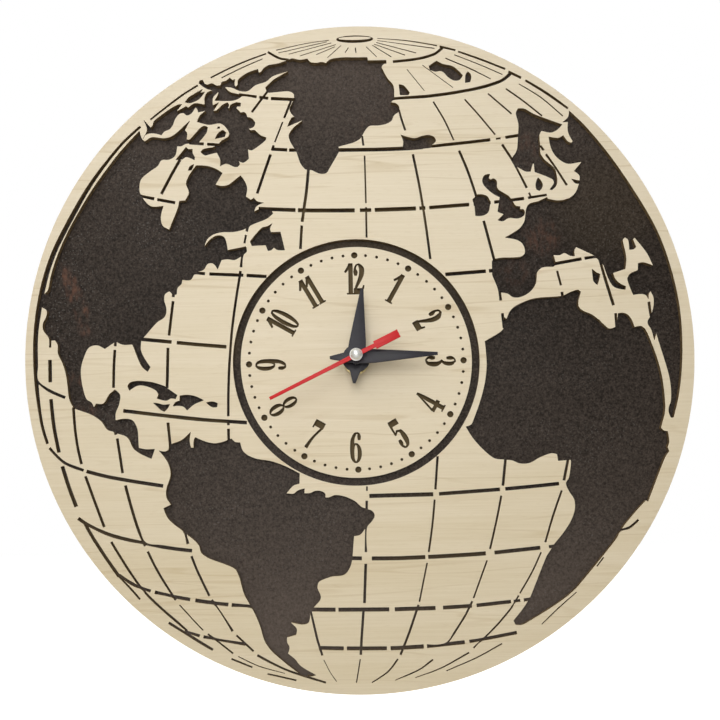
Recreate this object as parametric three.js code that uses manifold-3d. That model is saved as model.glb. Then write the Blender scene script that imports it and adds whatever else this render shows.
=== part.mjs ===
// World map wall clock: a pale fretwork disc glued to a dark board, so that the cut-out land and
// globe lines show dark, with a numbered dial, three hands and a battery movement behind it.
// Everything is drawn as the viewer sees it, X right, Y up and Z forward from the wall, in millimetres.
// The finished group is then stood up, so that +Z is up and the front looks along -Y.
// The origin is on the hand axis, in the plane of the wall.

import * as THREE from 'three';
import { mergeVertices } from 'three/addons/utils/BufferGeometryUtils.js';
import Module from 'manifold-3d';

const wasm = await Module();
wasm.setup();

// Discs
const PANEL_RADIUS = 150;
const PANEL_THICKNESS = 2;
const BOARD_THICKNESS = 3;
const BOARD_INSET = 0.8;
const DRAWN_RADIUS = 150; // panel radius at which the map below is drawn
const DIAL_CENTRE = [-1.6, -1.2]; // hand axis, seen from the middle of the drawn map
const DIAL_RADIUS = 51.8;
const RING_WIDTH = 3.4; // dark ring between the dial and the map

// Dial
const DOT_INSET = 3.7; // from the dial's edge to the circle of hour dots
const DOT_RADIUS = 1.3;
const HOURS = 12;
const NUMERAL_HEIGHT = 13.8;
const NUMERAL_GAP = 3.7; // from the circle of dots to the numerals
const DRAWN_NUMERAL = 13.8; // height at which the numerals below are drawn

// Hands, each measured from the axis, with the clock angle at which it is shown
const HAND_THICKNESS = 0.7;
const HOUR_HAND = { tip: 32.5, tail: 11.2, width: 7.8, hub: 6.1, angle: 5.8 };
const MINUTE_HAND = { tip: 36.5, tail: 11.7, width: 6.2, hub: 3.1, angle: 88.8 };
const SECOND_HAND = { tip: 42.8, tail: 21.1, weight: 11.8, width: 3.5, neck: 1.8, hub: 2, angle: 244.2 };
const HAND_POINT = 1.3; // width of a hand at its end
const LEAF_SHOULDER = 0.24; // where a leaf starts to taper, as a share of its length
const LEAF_HALVES = { shoulder: 0.97, belly: 1.06, tail: 0.8 }; // shares of a leaf's half width
const COLLET_WALL = 1;
const COLLET_DEPTH = 2;
const CAP_RADIUS = 2.75;
const CAP_HEIGHT = 3.3;
const CAP_RIM = 0.3; // straight part of the cap, as a share of its height

// Shafts, from the inside out
const ARBOR_RADIUS = 0.6;
const TUBE_WALL = 0.8;
const BUSHING_WALL = 1.35;
const SHAFT_STEP = 2.4; // each shaft reaches this much further into the case than the one round it
const SHAFT_PROUD = 0.15; // each tube ends this far beyond its hand

// Fixing stack
const GASKET_THICKNESS = 1;
const GASKET_RADIUS = 14;
const WASHER_RADIUS = 5.6;
const WASHER_THICKNESS = 0.7;
const NUT_ACROSS_FLATS = 9.5;
const NUT_HEIGHT = 2;
const NUT_CHAMFER = 0.3;
const BUSHING_SOCKET = 3.5; // depth of the bushing's seat in the case
const BUSHING_PROUD = 1.5; // beyond the nut

// Movement
const CASE_SIZE = 56;
const CASE_DEPTH = 16.5;
const CASE_CORNER = 5;
const CASE_CHAMFER = 1;
const COVER_THICKNESS = 1.4;
const COVER_MARGIN = 2.5; // rim of the case round the cover
const COVER_CORNER = 2.5;
const BATTERY_RADIUS = 7.1;
const BATTERY_LENGTH = 49.2;
const BATTERY_EDGE = 0.6;
const TERMINAL_RADIUS = 2.7;
const TERMINAL_HEIGHT = 1.2;
const BAY_MARGIN = 3; // wall of the case below the battery
const BAY_FLOOR = 1.3; // wall of the case in front of the battery
const CONTACT_THICKNESS = 0.4;
const CONTACT_WIDTH = 9;
const KNOB_RADIUS = 7;
const KNOB_HEIGHT = 2.6;
const KNOB_TEETH = 24;
const KNOB_TOOTH = 0.6;
const KNOB_SUNK = 0.5; // below the back of the case
const KNOB_CENTRE = [15, 9];
const KNOB_STEM = { radius: 2, length: 4 };
const HANGER_WIDTH = 22;
const HANGER_HEIGHT = 11;
const HANGER_THICKNESS = 3;
const HANGER_CORNER = 4;
const NAIL_HOLE = { width: 10, height: 7, corner: 3 };

// Clearances
const SEAT_GAP = 0.1; // faces that bear on each other
const RUN_GAP = 0.15; // round a piece that turns
const FIT_GAP = 0.3; // round a piece that drops into its place
const HAND_GAP = 0.9; // between one hand and the next
const OVERCUT = 1; // a cutter reaches this far beyond what it cuts

// Fineness of the drawing
const LONG_EDGE = 9; // corners between coast edges longer than this are rounded off
const CORNER_CUT = 0.25; // share of each edge that such a corner takes
const KNOT_GAP = 2.5; // knots nearer than this to a slot's end are passed over
const DISC_SIDES = 92;
const POLE_SIDES = 20;
const RING_SIDES = 60;
const ROUND_SIDES = 24;
const SHAFT_SIDES = 16;
const DOT_SIDES = 10;
const LOOP_SIDES = 14;
const DOME_STEPS = 4;
const CONTACT_STEPS = 4;

// Sizes that follow from those above
const MINUTE_BORE = ARBOR_RADIUS + RUN_GAP;
const MINUTE_TUBE = MINUTE_BORE + TUBE_WALL;
const HOUR_BORE = MINUTE_TUBE + RUN_GAP;
const HOUR_TUBE = HOUR_BORE + TUBE_WALL;
const BUSHING_BORE = HOUR_TUBE + RUN_GAP;
const BUSHING_RADIUS = BUSHING_BORE + BUSHING_WALL;
const RING_HOLE_RADIUS = DIAL_RADIUS + RING_WIDTH;
const DOT_CIRCLE = DIAL_RADIUS - DOT_INSET;
const HOUR_ANGLE = 360 / HOURS;
const NUMERAL_CIRCLE = DOT_CIRCLE - NUMERAL_GAP - NUMERAL_HEIGHT / 2;
const MAP_SCALE = PANEL_RADIUS / DRAWN_RADIUS;
const NUMERAL_SCALE = NUMERAL_HEIGHT / DRAWN_NUMERAL;

// Heights above the wall, each worked out from the one before
const GASKET_BACK = CASE_DEPTH + SEAT_GAP;
const BOARD_BACK = GASKET_BACK + GASKET_THICKNESS + SEAT_GAP;
const PANEL_BACK = BOARD_BACK + BOARD_THICKNESS + SEAT_GAP;
const PANEL_FACE = PANEL_BACK + PANEL_THICKNESS;
const WASHER_BACK = PANEL_FACE + SEAT_GAP;
const NUT_BACK = WASHER_BACK + WASHER_THICKNESS + SEAT_GAP;
const BUSHING_FRONT = NUT_BACK + NUT_HEIGHT + BUSHING_PROUD;
const HOUR_LEVEL = BUSHING_FRONT + HAND_GAP + COLLET_DEPTH;
const MINUTE_LEVEL = HOUR_LEVEL + HAND_THICKNESS + HAND_GAP + COLLET_DEPTH;
const SECOND_LEVEL = MINUTE_LEVEL + HAND_THICKNESS + HAND_GAP + COLLET_DEPTH;
const CAP_BACK = SECOND_LEVEL + HAND_THICKNESS + SEAT_GAP;
const BUSHING_BACK = CASE_DEPTH - BUSHING_SOCKET;
const HOUR_TUBE_BACK = BUSHING_BACK - SHAFT_STEP;
const MINUTE_TUBE_BACK = HOUR_TUBE_BACK - SHAFT_STEP;
const ARBOR_BACK = MINUTE_TUBE_BACK - SHAFT_STEP;

// Places in the movement
const BAY_RADIUS = BATTERY_RADIUS + FIT_GAP;
const BAY_HALF_LENGTH = BATTERY_LENGTH / 2 + TERMINAL_HEIGHT + CONTACT_THICKNESS + 2 * SEAT_GAP;
const BATTERY_Y = BAY_MARGIN + BAY_RADIUS - CASE_SIZE / 2;
const BATTERY_Z = CASE_DEPTH - BAY_FLOOR - BAY_RADIUS;
const COVER_WIDTH = CASE_SIZE - 2 * COVER_MARGIN;
const COVER_TOP = CASE_SIZE / 2 - COVER_MARGIN;
const COVER_FOOT = BATTERY_Y + BAY_RADIUS + COVER_MARGIN;
const COVER_HEIGHT = COVER_TOP - COVER_FOOT;
const COVER_Y = (COVER_TOP + COVER_FOOT) / 2;

const MATERIALS = {
  maple: { color: 0xdccdac, roughness: 0.6, metalness: 0 },
  wenge: { color: 0x3e3833, roughness: 0.7, metalness: 0 },
  handBlack: { color: 0x34343a, roughness: 0.45, metalness: 0.1 },
  handRed: { color: 0xc53a3f, roughness: 0.4, metalness: 0 },
  chrome: { color: 0xe4e4e2, roughness: 0.15, metalness: 1 },
  brass: { color: 0xb3924a, roughness: 0.35, metalness: 1 },
  steel: { color: 0xb9bbbd, roughness: 0.35, metalness: 1 },
  blackPlastic: { color: 0x1c1c1e, roughness: 0.55, metalness: 0 },
  whitePlastic: { color: 0xe8e6de, roughness: 0.5, metalness: 0 },
  rubber: { color: 0x151515, roughness: 0.9, metalness: 0 },
  batteryCase: { color: 0x3c4c46, roughness: 0.35, metalness: 0.2 },
};

// Land, as the corners of closed coastlines on a disc of the drawn radius
const LAND = {
  northAmerica: [
    [-97, 104.6], [-106, 95.2], [-110.5, 89.6], [-118.5, 79], [-125, 68.6], [-129.9, 59.9],
    [-134.7, 49.7], [-137.9, 39.8], [-139.5, 33.3], [-142.6, 30.8], [-143.4, 28.5], [-142.2, 26.4],
    [-140, 24.9], [-140.1, 22],
    [-141.6, 19.2], [-141.7, 16.4], [-138.6, 11.2], [-136.4, 11.4], [-135.3, 9.4], [-135.2, 5.5],
    [-133.2, 1], [-131.8, -4], [-130.2, -16], [-128.6, -19.3], [-119.5, -23], [-116.3, -25.4],
    [-113.2, -29.5], [-105, -32.6], [-101.8, -38.2], [-94.2, -42.6], [-92.7, -38.4], [-96.5, -38.5],
    [-99.8, -37.8], [-100.7, -28], [-102.4, -25.4], [-105.5, -24.6], [-110, -25.2], [-110, -22.5],
    [-108.2, -17.5], [-108, -13.4], [-110, -11.5], [-112.2, -13.2], [-115.8, -17.8], [-118.5, -17.6],
    [-119.5, -19.2], [-120.6, -17.1], [-122.6, -15.8], [-125.2, -2], [-123.8, 3.2], [-120.6, 8.3],
    [-117.4, 8.7], [-114.2, 7.1], [-109.4, 10.2], [-106.4, 8.9], [-101.8, 8.8], [-97.4, -1.6],
    [-95.2, -3.5], [-94, -1.6], [-98.2, 6.4], [-97.9, 10.6], [-90.5, 18.6], [-87, 21.2], [-86.4, 24.4],
    [-87.3, 28.6], [-86.8, 31.2], [-84.8, 32.4], [-83, 30.4], [-81.6, 31], [-81.2, 33.8], [-79.4, 35.6],
    [-79, 37.4], [-75, 37.5], [-73.8, 39.4], [-72, 40.8], [-69.4, 41.7], [-67.2, 44.5], [-65.2, 44.6],
    [-63, 41.9], [-61.2, 46], [-58.6, 46.3], [-55.4, 45.9], [-52, 47.6], [-49.9, 49.4], [-50.2, 51.7],
    [-58.4, 50.2], [-58.8, 53], [-60.2, 56.4], [-62.8, 56.9], [-65.6, 55.6], [-68.8, 52.2],
    [-67.6, 55.2], [-64, 57.8], [-60.4, 58.5], [-56, 58.5], [-51, 59.5], [-40, 64.5], [-37.8, 66.4],
    [-39, 69], [-42, 69.1], [-46.2, 67.4], [-45.4, 69.6], [-41.9, 71.3], [-45, 72.1], [-46.2, 73.5],
    [-47.6, 72.6], [-49.8, 74.2], [-49.2, 78], [-50.6, 81.8], [-52, 83.7], [-57, 79.8], [-60.4, 79.1],
    [-63.4, 79.8], [-60.2, 85], [-62.8, 86.8], [-67, 88.3], [-71.8, 88.6], [-76.4, 80.4], [-75.2, 76.6],
    [-77, 72.9], [-79.6, 72.8], [-80, 70.6], [-84.4, 59.9], [-87.4, 61.8], [-88.2, 64.8], [-86.9, 70.7],
    [-92.6, 70.7], [-95.6, 73.6], [-97.4, 76.8], [-97, 82.4], [-92.6, 86.5], [-89, 89], [-87.4, 91.4],
    [-84, 91.6], [-81.6, 92.9], [-80.2, 97.6], [-78.6, 97.5], [-76.2, 98.6], [-70.6, 98.9],
    [-66.8, 103.8], [-66.4, 105.8], [-67.8, 106.4], [-69.2, 105.8], [-74.8, 100.2], [-76, 100.4],
    [-75.8, 103.6], [-76.7, 104.6], [-74.4, 108.8], [-80.4, 103.4], [-82.8, 101.8], [-85.5, 101.1],
    [-92.2, 101.5], [-94.6, 99.8], [-95.8, 101],
  ],
  arcticIslands: [
    [-94.9, 109.4], [-92, 106], [-90.9, 107.2], [-90.6, 108.6], [-82, 114.9], [-79.6, 116.1],
    [-77.8, 116.4], [-80.2, 113.2], [-75.8, 115.4], [-74.9, 114.7], [-72.6, 116.4], [-67.4, 116],
    [-67.3, 119.6], [-66.2, 121.4], [-64, 122.3], [-67.2, 123.6], [-69.9, 125.8], [-69.6, 126.7],
    [-68.2, 127.1], [-67.4, 125.4], [-66.4, 124.9], [-64, 125.5], [-62, 124.4], [-60.2, 124.5],
    [-59.8, 125.8], [-57.6, 126.6], [-56, 127.9], [-54.8, 126.8], [-53.7, 127.1], [-54, 124.6],
    [-53.4, 123.7], [-52.5, 124.6], [-52.4, 126.4], [-48, 129.9], [-43.3, 131.5], [-43, 129.8],
    [-42, 130.2], [-40.6, 132], [-38, 133.3], [-34, 133.9], [-28, 136], [-24.6, 135.3], [-21, 135.8],
    [-20, 134.4], [-16, 133.9], [-14.8, 134.2], [-12.6, 133.6], [-11.2, 135], [-6, 136], [5.9, 135.9],
    [6.2, 133.8], [13.6, 133.2], [12.1, 131.4], [15, 126], [17.2, 123.2], [17.7, 117], [16, 115.4],
    [18.4, 114.9], [19.8, 113.2], [19.9, 111.4], [17.2, 109.4], [16.4, 107.4], [14.4, 106.1],
    [11, 105.3], [6.2, 105], [5, 104], [2.2, 99.6], [0, 98.2], [-7.8, 96], [-7.8, 93.4], [-12, 86.4],
    [-13.4, 84.3], [-15.6, 83.9], [-20, 85.7], [-22.6, 86], [-24.4, 88], [-26.6, 94], [-29.4, 99],
    [-29.9, 101.5], [-28.6, 103.8], [-23.6, 108.2], [-30.4, 105.5], [-28.4, 109.4], [-27.2, 109.8],
    [-28.8, 111.6], [-29.3, 113], [-27.1, 118.4], [-27.2, 119.8], [-28.2, 120.9], [-29.6, 121.4],
    [-38.6, 120.9], [-39.6, 121.8], [-40, 123.2], [-37, 126], [-29.6, 130.5], [-37.4, 127.9],
    [-39.4, 126.2], [-44.6, 124.4], [-48.6, 121.7], [-51, 121.8], [-55.2, 123.5], [-58.4, 123.9],
    [-56.6, 121.8], [-50.4, 119.8], [-52.2, 118.5], [-54.6, 117.7], [-62.9, 117.8], [-61.2, 120.8],
    [-61.2, 121.8], [-63.8, 119], [-64, 115.4], [-61.2, 116.8], [-63.8, 113], [-62.4, 113.2],
    [-59, 116], [-57.2, 116.7], [-56.7, 115.8], [-57.2, 114], [-56.4, 114.2], [-56, 115.4],
    [-54.8, 116.2], [-53, 116.7], [-51.3, 116.4], [-51.5, 115], [-53, 115], [-53.4, 114.2],
    [-51.4, 112], [-50.2, 112.3], [-48.9, 111.4], [-48.6, 110], [-47.2, 109.7], [-45.7, 108.6],
    [-45.1, 107.4], [-45.6, 105.8], [-48, 104.7], [-47, 104], [-45.6, 104.1], [-42.6, 101.6],
    [-40.2, 100.6], [-40.4, 99.7], [-45.6, 95.7], [-46.8, 95.1], [-48.5, 95.6], [-48.2, 91.4],
    [-50.8, 89.6], [-52.8, 90.4], [-52.2, 89], [-53.2, 87.8], [-54.6, 87.8], [-58.6, 89.3], [-61, 88.2],
    [-60.8, 90.8], [-62.4, 94.4], [-67.6, 93.2], [-69.6, 94.8], [-68.6, 95.8], [-64, 96.7],
    [-61.4, 98.2], [-60.4, 99.4], [-57, 101.4], [-56.6, 102.6], [-59.8, 107.2], [-66, 107],
    [-71, 108.4], [-69.6, 111.2], [-67, 113.3], [-70.4, 112.7], [-70.8, 114.2], [-71.6, 114.9],
    [-74.2, 111.8], [-75.8, 111.4], [-77, 112.5], [-78.4, 112.4], [-81, 109.8], [-82, 107.2],
    [-83.4, 105.4], [-86, 104.2], [-87.2, 102.7], [-90.6, 103.6], [-94.4, 102.9], [-95.6, 101.2],
    [-93.5, 105],
  ],
  victoriaStrait: [
    [-76.3, 117.3], [-75, 119], [-68.4, 122.9], [-69.4, 121.3], [-67.4, 121.8], [-70, 118.6],
    [-72, 117.5], [-74.4, 116.9],
  ],
  foxeIsland: [
    [-63, 100.6], [-62, 102.6], [-60.4, 104], [-59.4, 104.4], [-58.2, 103.2], [-58.8, 101.4],
  ],
  foxeIslet: [[-62.4, 104.9], [-61.8, 106.1], [-60.5, 106.1], [-61, 105]],
  southampton: [
    [-80.9, 91.4], [-76.2, 97], [-75.2, 96], [-73.4, 96.1], [-73.4, 94.2], [-72.4, 92.4], [-72.6, 91.2],
    [-76.6, 92.6], [-78, 91.6],
  ],
  hudsonIslet: [[-75.6, 86.4], [-74.8, 88.2], [-72.7, 89.4], [-73.1, 88], [-74, 86.6]],
  newfoundland: [
    [-48.2, 53.9], [-42.4, 60.2], [-40.4, 60.6], [-38.2, 61.9], [-39.3, 59.4], [-38.8, 57.9],
    [-34.6, 58], [-32.8, 49.9], [-36.4, 50.2], [-37.6, 51.2], [-38.8, 50], [-40.2, 49.7], [-41.2, 52.3],
    [-47.4, 52.1],
  ],
  cuba: [
    [-104.2, -10], [-103.4, -8.6], [-100.6, -7.8], [-96, -8], [-91.6, -8.9], [-87.6, -10.4],
    [-82.2, -14.4], [-82.9, -16], [-85, -15.7], [-86.6, -16.6], [-91.2, -15.6], [-90.5, -14],
    [-91.2, -12.4], [-99.8, -9.7], [-103.4, -11.8],
  ],
  jamaica: [
    [-92.8, -17.7], [-91, -17.9], [-88.6, -18.6], [-85.6, -18.4], [-86.4, -20], [-88, -21.6],
    [-89.6, -20.8], [-91.2, -19.2],
  ],
  hispaniola: [
    [-80.9, -14.7], [-78, -14.4], [-74.6, -14.9], [-70.4, -16.9], [-74.8, -18.7], [-77.8, -21.2],
    [-79.2, -19.6], [-84, -19.2], [-83, -17.6], [-81, -17],
  ],
  puertoRico: [[-69, -18], [-66.4, -17.6], [-64.2, -18.4], [-64.4, -20], [-66.2, -20.1], [-68, -19]],
  southAmerica: [
    [-90.6, -39.2], [-87.6, -39.6], [-86.4, -38.8], [-85.8, -36.6], [-80.4, -34.6], [-76.5, -31.2],
    [-77, -35], [-76.5, -38.1], [-75.1, -38.2], [-75, -35], [-74.4, -33.5], [-69, -35.8],
    [-65.4, -36.4], [-62, -35.8], [-58.2, -34.4], [-56.6, -36], [-54.4, -36.2], [-53.2, -40],
    [-51, -42], [-48, -43.4], [-38, -45.4], [-28, -50.6], [-28.2, -55], [-30.4, -55.6], [-34.2, -59.4],
    [-30.4, -59.5], [-29.2, -58.4], [-25.9, -57.4], [-26.1, -59.5], [-23.4, -59.5], [-21.2, -58.6],
    [-18.6, -58.7], [-16.7, -60], [-16.7, -61.6], [-15, -61.6], [-12.6, -60.7], [-10, -60.8],
    [-3, -63.8], [-0.4, -66.2], [4.2, -68], [5.2, -70], [4, -72.4], [-1.6, -78.5], [-4.2, -79],
    [-5.2, -89.6], [-6.2, -92.8], [-8.2, -95.7], [-15, -97], [-20.6, -99.6], [-21, -101.6],
    [-19.6, -106.4], [-24.4, -112.6], [-24.6, -115], [-25.5, -117.5], [-27.4, -118], [-33.2, -117],
    [-30.5, -120.6], [-31, -122.6], [-35, -123.7], [-35, -126], [-34, -128], [-34.7, -131],
    [-31.4, -133.8], [-29.6, -136.2], [-22.4, -140.8], [-24.8, -141.3], [-27.4, -140.8], [-30, -139.6],
    [-42, -129.4], [-44.4, -126], [-48, -114.6], [-53.4, -104.6], [-55.8, -96], [-57.2, -93],
    [-70, -87.2], [-72.6, -85], [-73.4, -82], [-75.2, -79.8], [-84, -72.6], [-87.4, -69], [-89, -65],
    [-85.7, -63.4], [-87.7, -59.8], [-87.7, -57], [-85.6, -49.6], [-86, -46.6], [-87.6, -43],
  ],
  iceland: [
    [20.4, 100.7], [26.6, 99], [31, 100.2], [33.4, 100.2], [35.4, 99.2], [36, 97.8], [35, 96.4],
    [32, 94.8], [21.2, 94.6], [21.5, 97.6],
  ],
  janMayen: [[20, 123.4], [21.8, 123], [23.2, 121.6], [24.6, 119.6], [24, 118.6], [20.4, 118.7]],
  svalbard: [
    [33.7, 131.6], [37, 133.7], [39.4, 132.4], [44.4, 131], [48.6, 127], [47.4, 125.2], [45, 124.8],
    [42.6, 126], [39, 129.2], [36.4, 129], [34, 129.8],
  ],
  franzJosef: [
    [49.9, 126], [49.8, 123.7], [51.9, 124], [52.4, 126.2], [52, 127.8], [51, 128.6], [50.1, 127.4],
  ],
  scandinavia: [
    [72.4, 110], [73.2, 111.5], [75.4, 111.5], [80, 109], [92.8, 104], [91.6, 102.6], [88.2, 100.6],
    [83.4, 101.4], [82.6, 99.8], [82.8, 91], [84.4, 88.4], [89.2, 84], [89.8, 81.4], [90.1, 78.4],
    [89.4, 76.2], [87.6, 74.6], [86.8, 74.9], [88.8, 78], [88.4, 79.2], [80.2, 82.9], [79.9, 86.7],
    [79.3, 86.7], [78.2, 83.2], [76.6, 83.1], [71.8, 85.6], [70.2, 87.4], [70, 89], [72.4, 92.8],
    [72.8, 95.4], [73.4, 104],
  ],
  denmark: [
    [80.5, 76.8], [80.9, 78.8], [81.6, 80.2], [82.7, 79], [83.5, 77.4], [83.1, 75.4], [82, 74.4],
    [80.9, 74.9],
  ],
  britain: [
    [56.6, 79.4], [58, 82], [59.9, 82.2], [59.3, 80.4], [60.2, 79.7], [61.4, 80.2], [62.7, 79.4],
    [63, 76.2], [63.6, 75.2], [68.4, 72], [71.4, 67.6], [73.2, 67.4], [73.1, 66.2], [74.5, 66.1],
    [75.3, 64.6], [74.4, 63], [72.4, 62.2], [68, 62.4], [65, 61], [63.2, 61.5], [66, 64.1],
    [63.2, 65.3], [64.3, 71.8], [62, 73], [58.6, 75.8], [57, 77.8],
  ],
  ireland: [
    [52, 70.9], [54.2, 73.1], [56.4, 73.1], [58.6, 72.2], [60, 69.6], [58.7, 65], [56.8, 63.8],
    [53.2, 63.7], [52.9, 68],
  ],
  eurasia: [
    [86.8, 98.5], [91.6, 98], [93.2, 99], [95.4, 96.1], [96.6, 95.5], [97.6, 96.3], [95.8, 99.8],
    [95.4, 101.6], [95.6, 105.2], [93.3, 105.1], [95.8, 107.4], [96.2, 110], [104, 102.4], [116, 87],
    [128.2, 67.6], [134.2, 56], [136.8, 49.6], [140.9, 36.6], [143.4, 23.6], [144.2, 16.4], [144.6, 8],
    [144.2, -8], [142, -21], [140, -28.5], [139, -28.7], [138.1, -26.6], [138.1, -24], [138.9, -22],
    [139.3, -18], [138.9, -12], [133.1, 9.4], [132.2, 6.4], [131, 11], [129.4, 14.4], [131.2, 18],
    [132.3, 22], [132.2, 25.8], [131, 28.4], [130.2, 27.4], [129.9, 24.8], [129, 26.5], [127, 27.1],
    [123.2, 26.8], [120.8, 34.4], [121.6, 35.8], [125.6, 37.8], [125.7, 40.8], [127.4, 41.2],
    [132.4, 39.7], [130, 45], [124.4, 52.5], [123.5, 51.8], [124.8, 48.2], [123.6, 47.2], [121.9, 47.2],
    [121.3, 51.8], [120, 52.7], [119, 51.8], [120.3, 43], [119.8, 38.5], [114.2, 36.8], [115, 34.4],
    [116.6, 32.4], [119.9, 30.6], [119.6, 29.2], [115, 30.3], [108.6, 43.6], [98, 48.8], [97.2, 47.6],
    [97.2, 44.7], [95.2, 44.9], [92.6, 46.2], [90.6, 45.3], [87.7, 45.4], [88.8, 41], [87.6, 40.2],
    [82.2, 39.7], [80.4, 38], [79.6, 33], [77.6, 29.8], [75, 27.8], [71, 26.6], [69, 26.9], [67, 28.4],
    [63, 29.2], [60.2, 37], [60.2, 43.2], [61.5, 44], [64, 44.4], [73.6, 44.9], [75, 46.2], [75, 48.4],
    [73.9, 50.9], [72, 52.3], [66.4, 53.6], [73.4, 58], [75, 60.4], [77.4, 68.4], [81.6, 69.6],
    [85.4, 71.4], [85.6, 70.6], [91, 69.7], [97, 71.7], [98.6, 73.6], [100, 77.2], [98.4, 77.4],
    [96.7, 79.3], [100.2, 78.4], [100.4, 80.6], [97.9, 82.9], [101.4, 87], [94.4, 86.5], [92, 87.8],
    [90, 89.6], [88.2, 92.4],
  ],
  sicily: [
    [105, 38.6], [106.6, 37.2], [108.5, 36.3], [107.9, 33.8], [107.2, 31.6], [105.7, 33], [105.2, 35.6],
  ],
  africa: [
    [75, 24.8], [68, 20.6], [66.1, 16.8], [65.2, 17.7], [64.7, 12.6], [63.8, 11.5], [56.3, 7.1],
    [56.9, -4], [55.8, -12], [54.2, -18], [50.4, -28.2], [49.4, -30.2], [47, -31], [50, -36],
    [60, -45.5], [67.4, -46.4], [70.4, -47.7], [74.6, -47.8], [80.4, -45], [85.6, -43.5], [87.6, -44],
    [88, -47], [93.6, -46.6], [93.8, -47.6], [92.4, -55.4], [91.4, -56.8], [93, -61.4], [94.7, -64],
    [95.2, -67], [94.5, -71], [93, -74.4], [90.4, -78.4], [85.6, -84.2], [82, -89.6], [74.4, -107.6],
    [71.6, -112], [66.6, -118.2], [67.4, -119.9], [69.6, -120.1], [79, -115.4], [90.4, -107.8],
    [94.4, -104.4], [98, -100.4], [113.4, -82], [116.4, -77], [122.4, -70], [126.8, -65.4],
    [127.8, -65.9], [136.2, -45.6], [137.7, -43.6], [137, -42], [137.7, -40], [137.2, -34.8],
    [135.6, -34.6], [134.2, -33.2], [136.3, -24.6], [136.2, -20], [134.4, -4.6], [127.8, 11.6],
    [126.4, 12.5], [123.4, 12.2], [122, 15.8], [120.2, 18], [118, 18.7], [116.2, 18.5], [115.4, 12.8],
    [113.6, 11.8], [112, 11.7], [107, 16.2], [103.6, 18.6], [100.4, 20], [98.7, 21.6], [98.3, 23.6],
    [99.6, 28.4], [98.6, 29.3], [96.6, 29], [91.6, 26.8],
  ],
};

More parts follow.
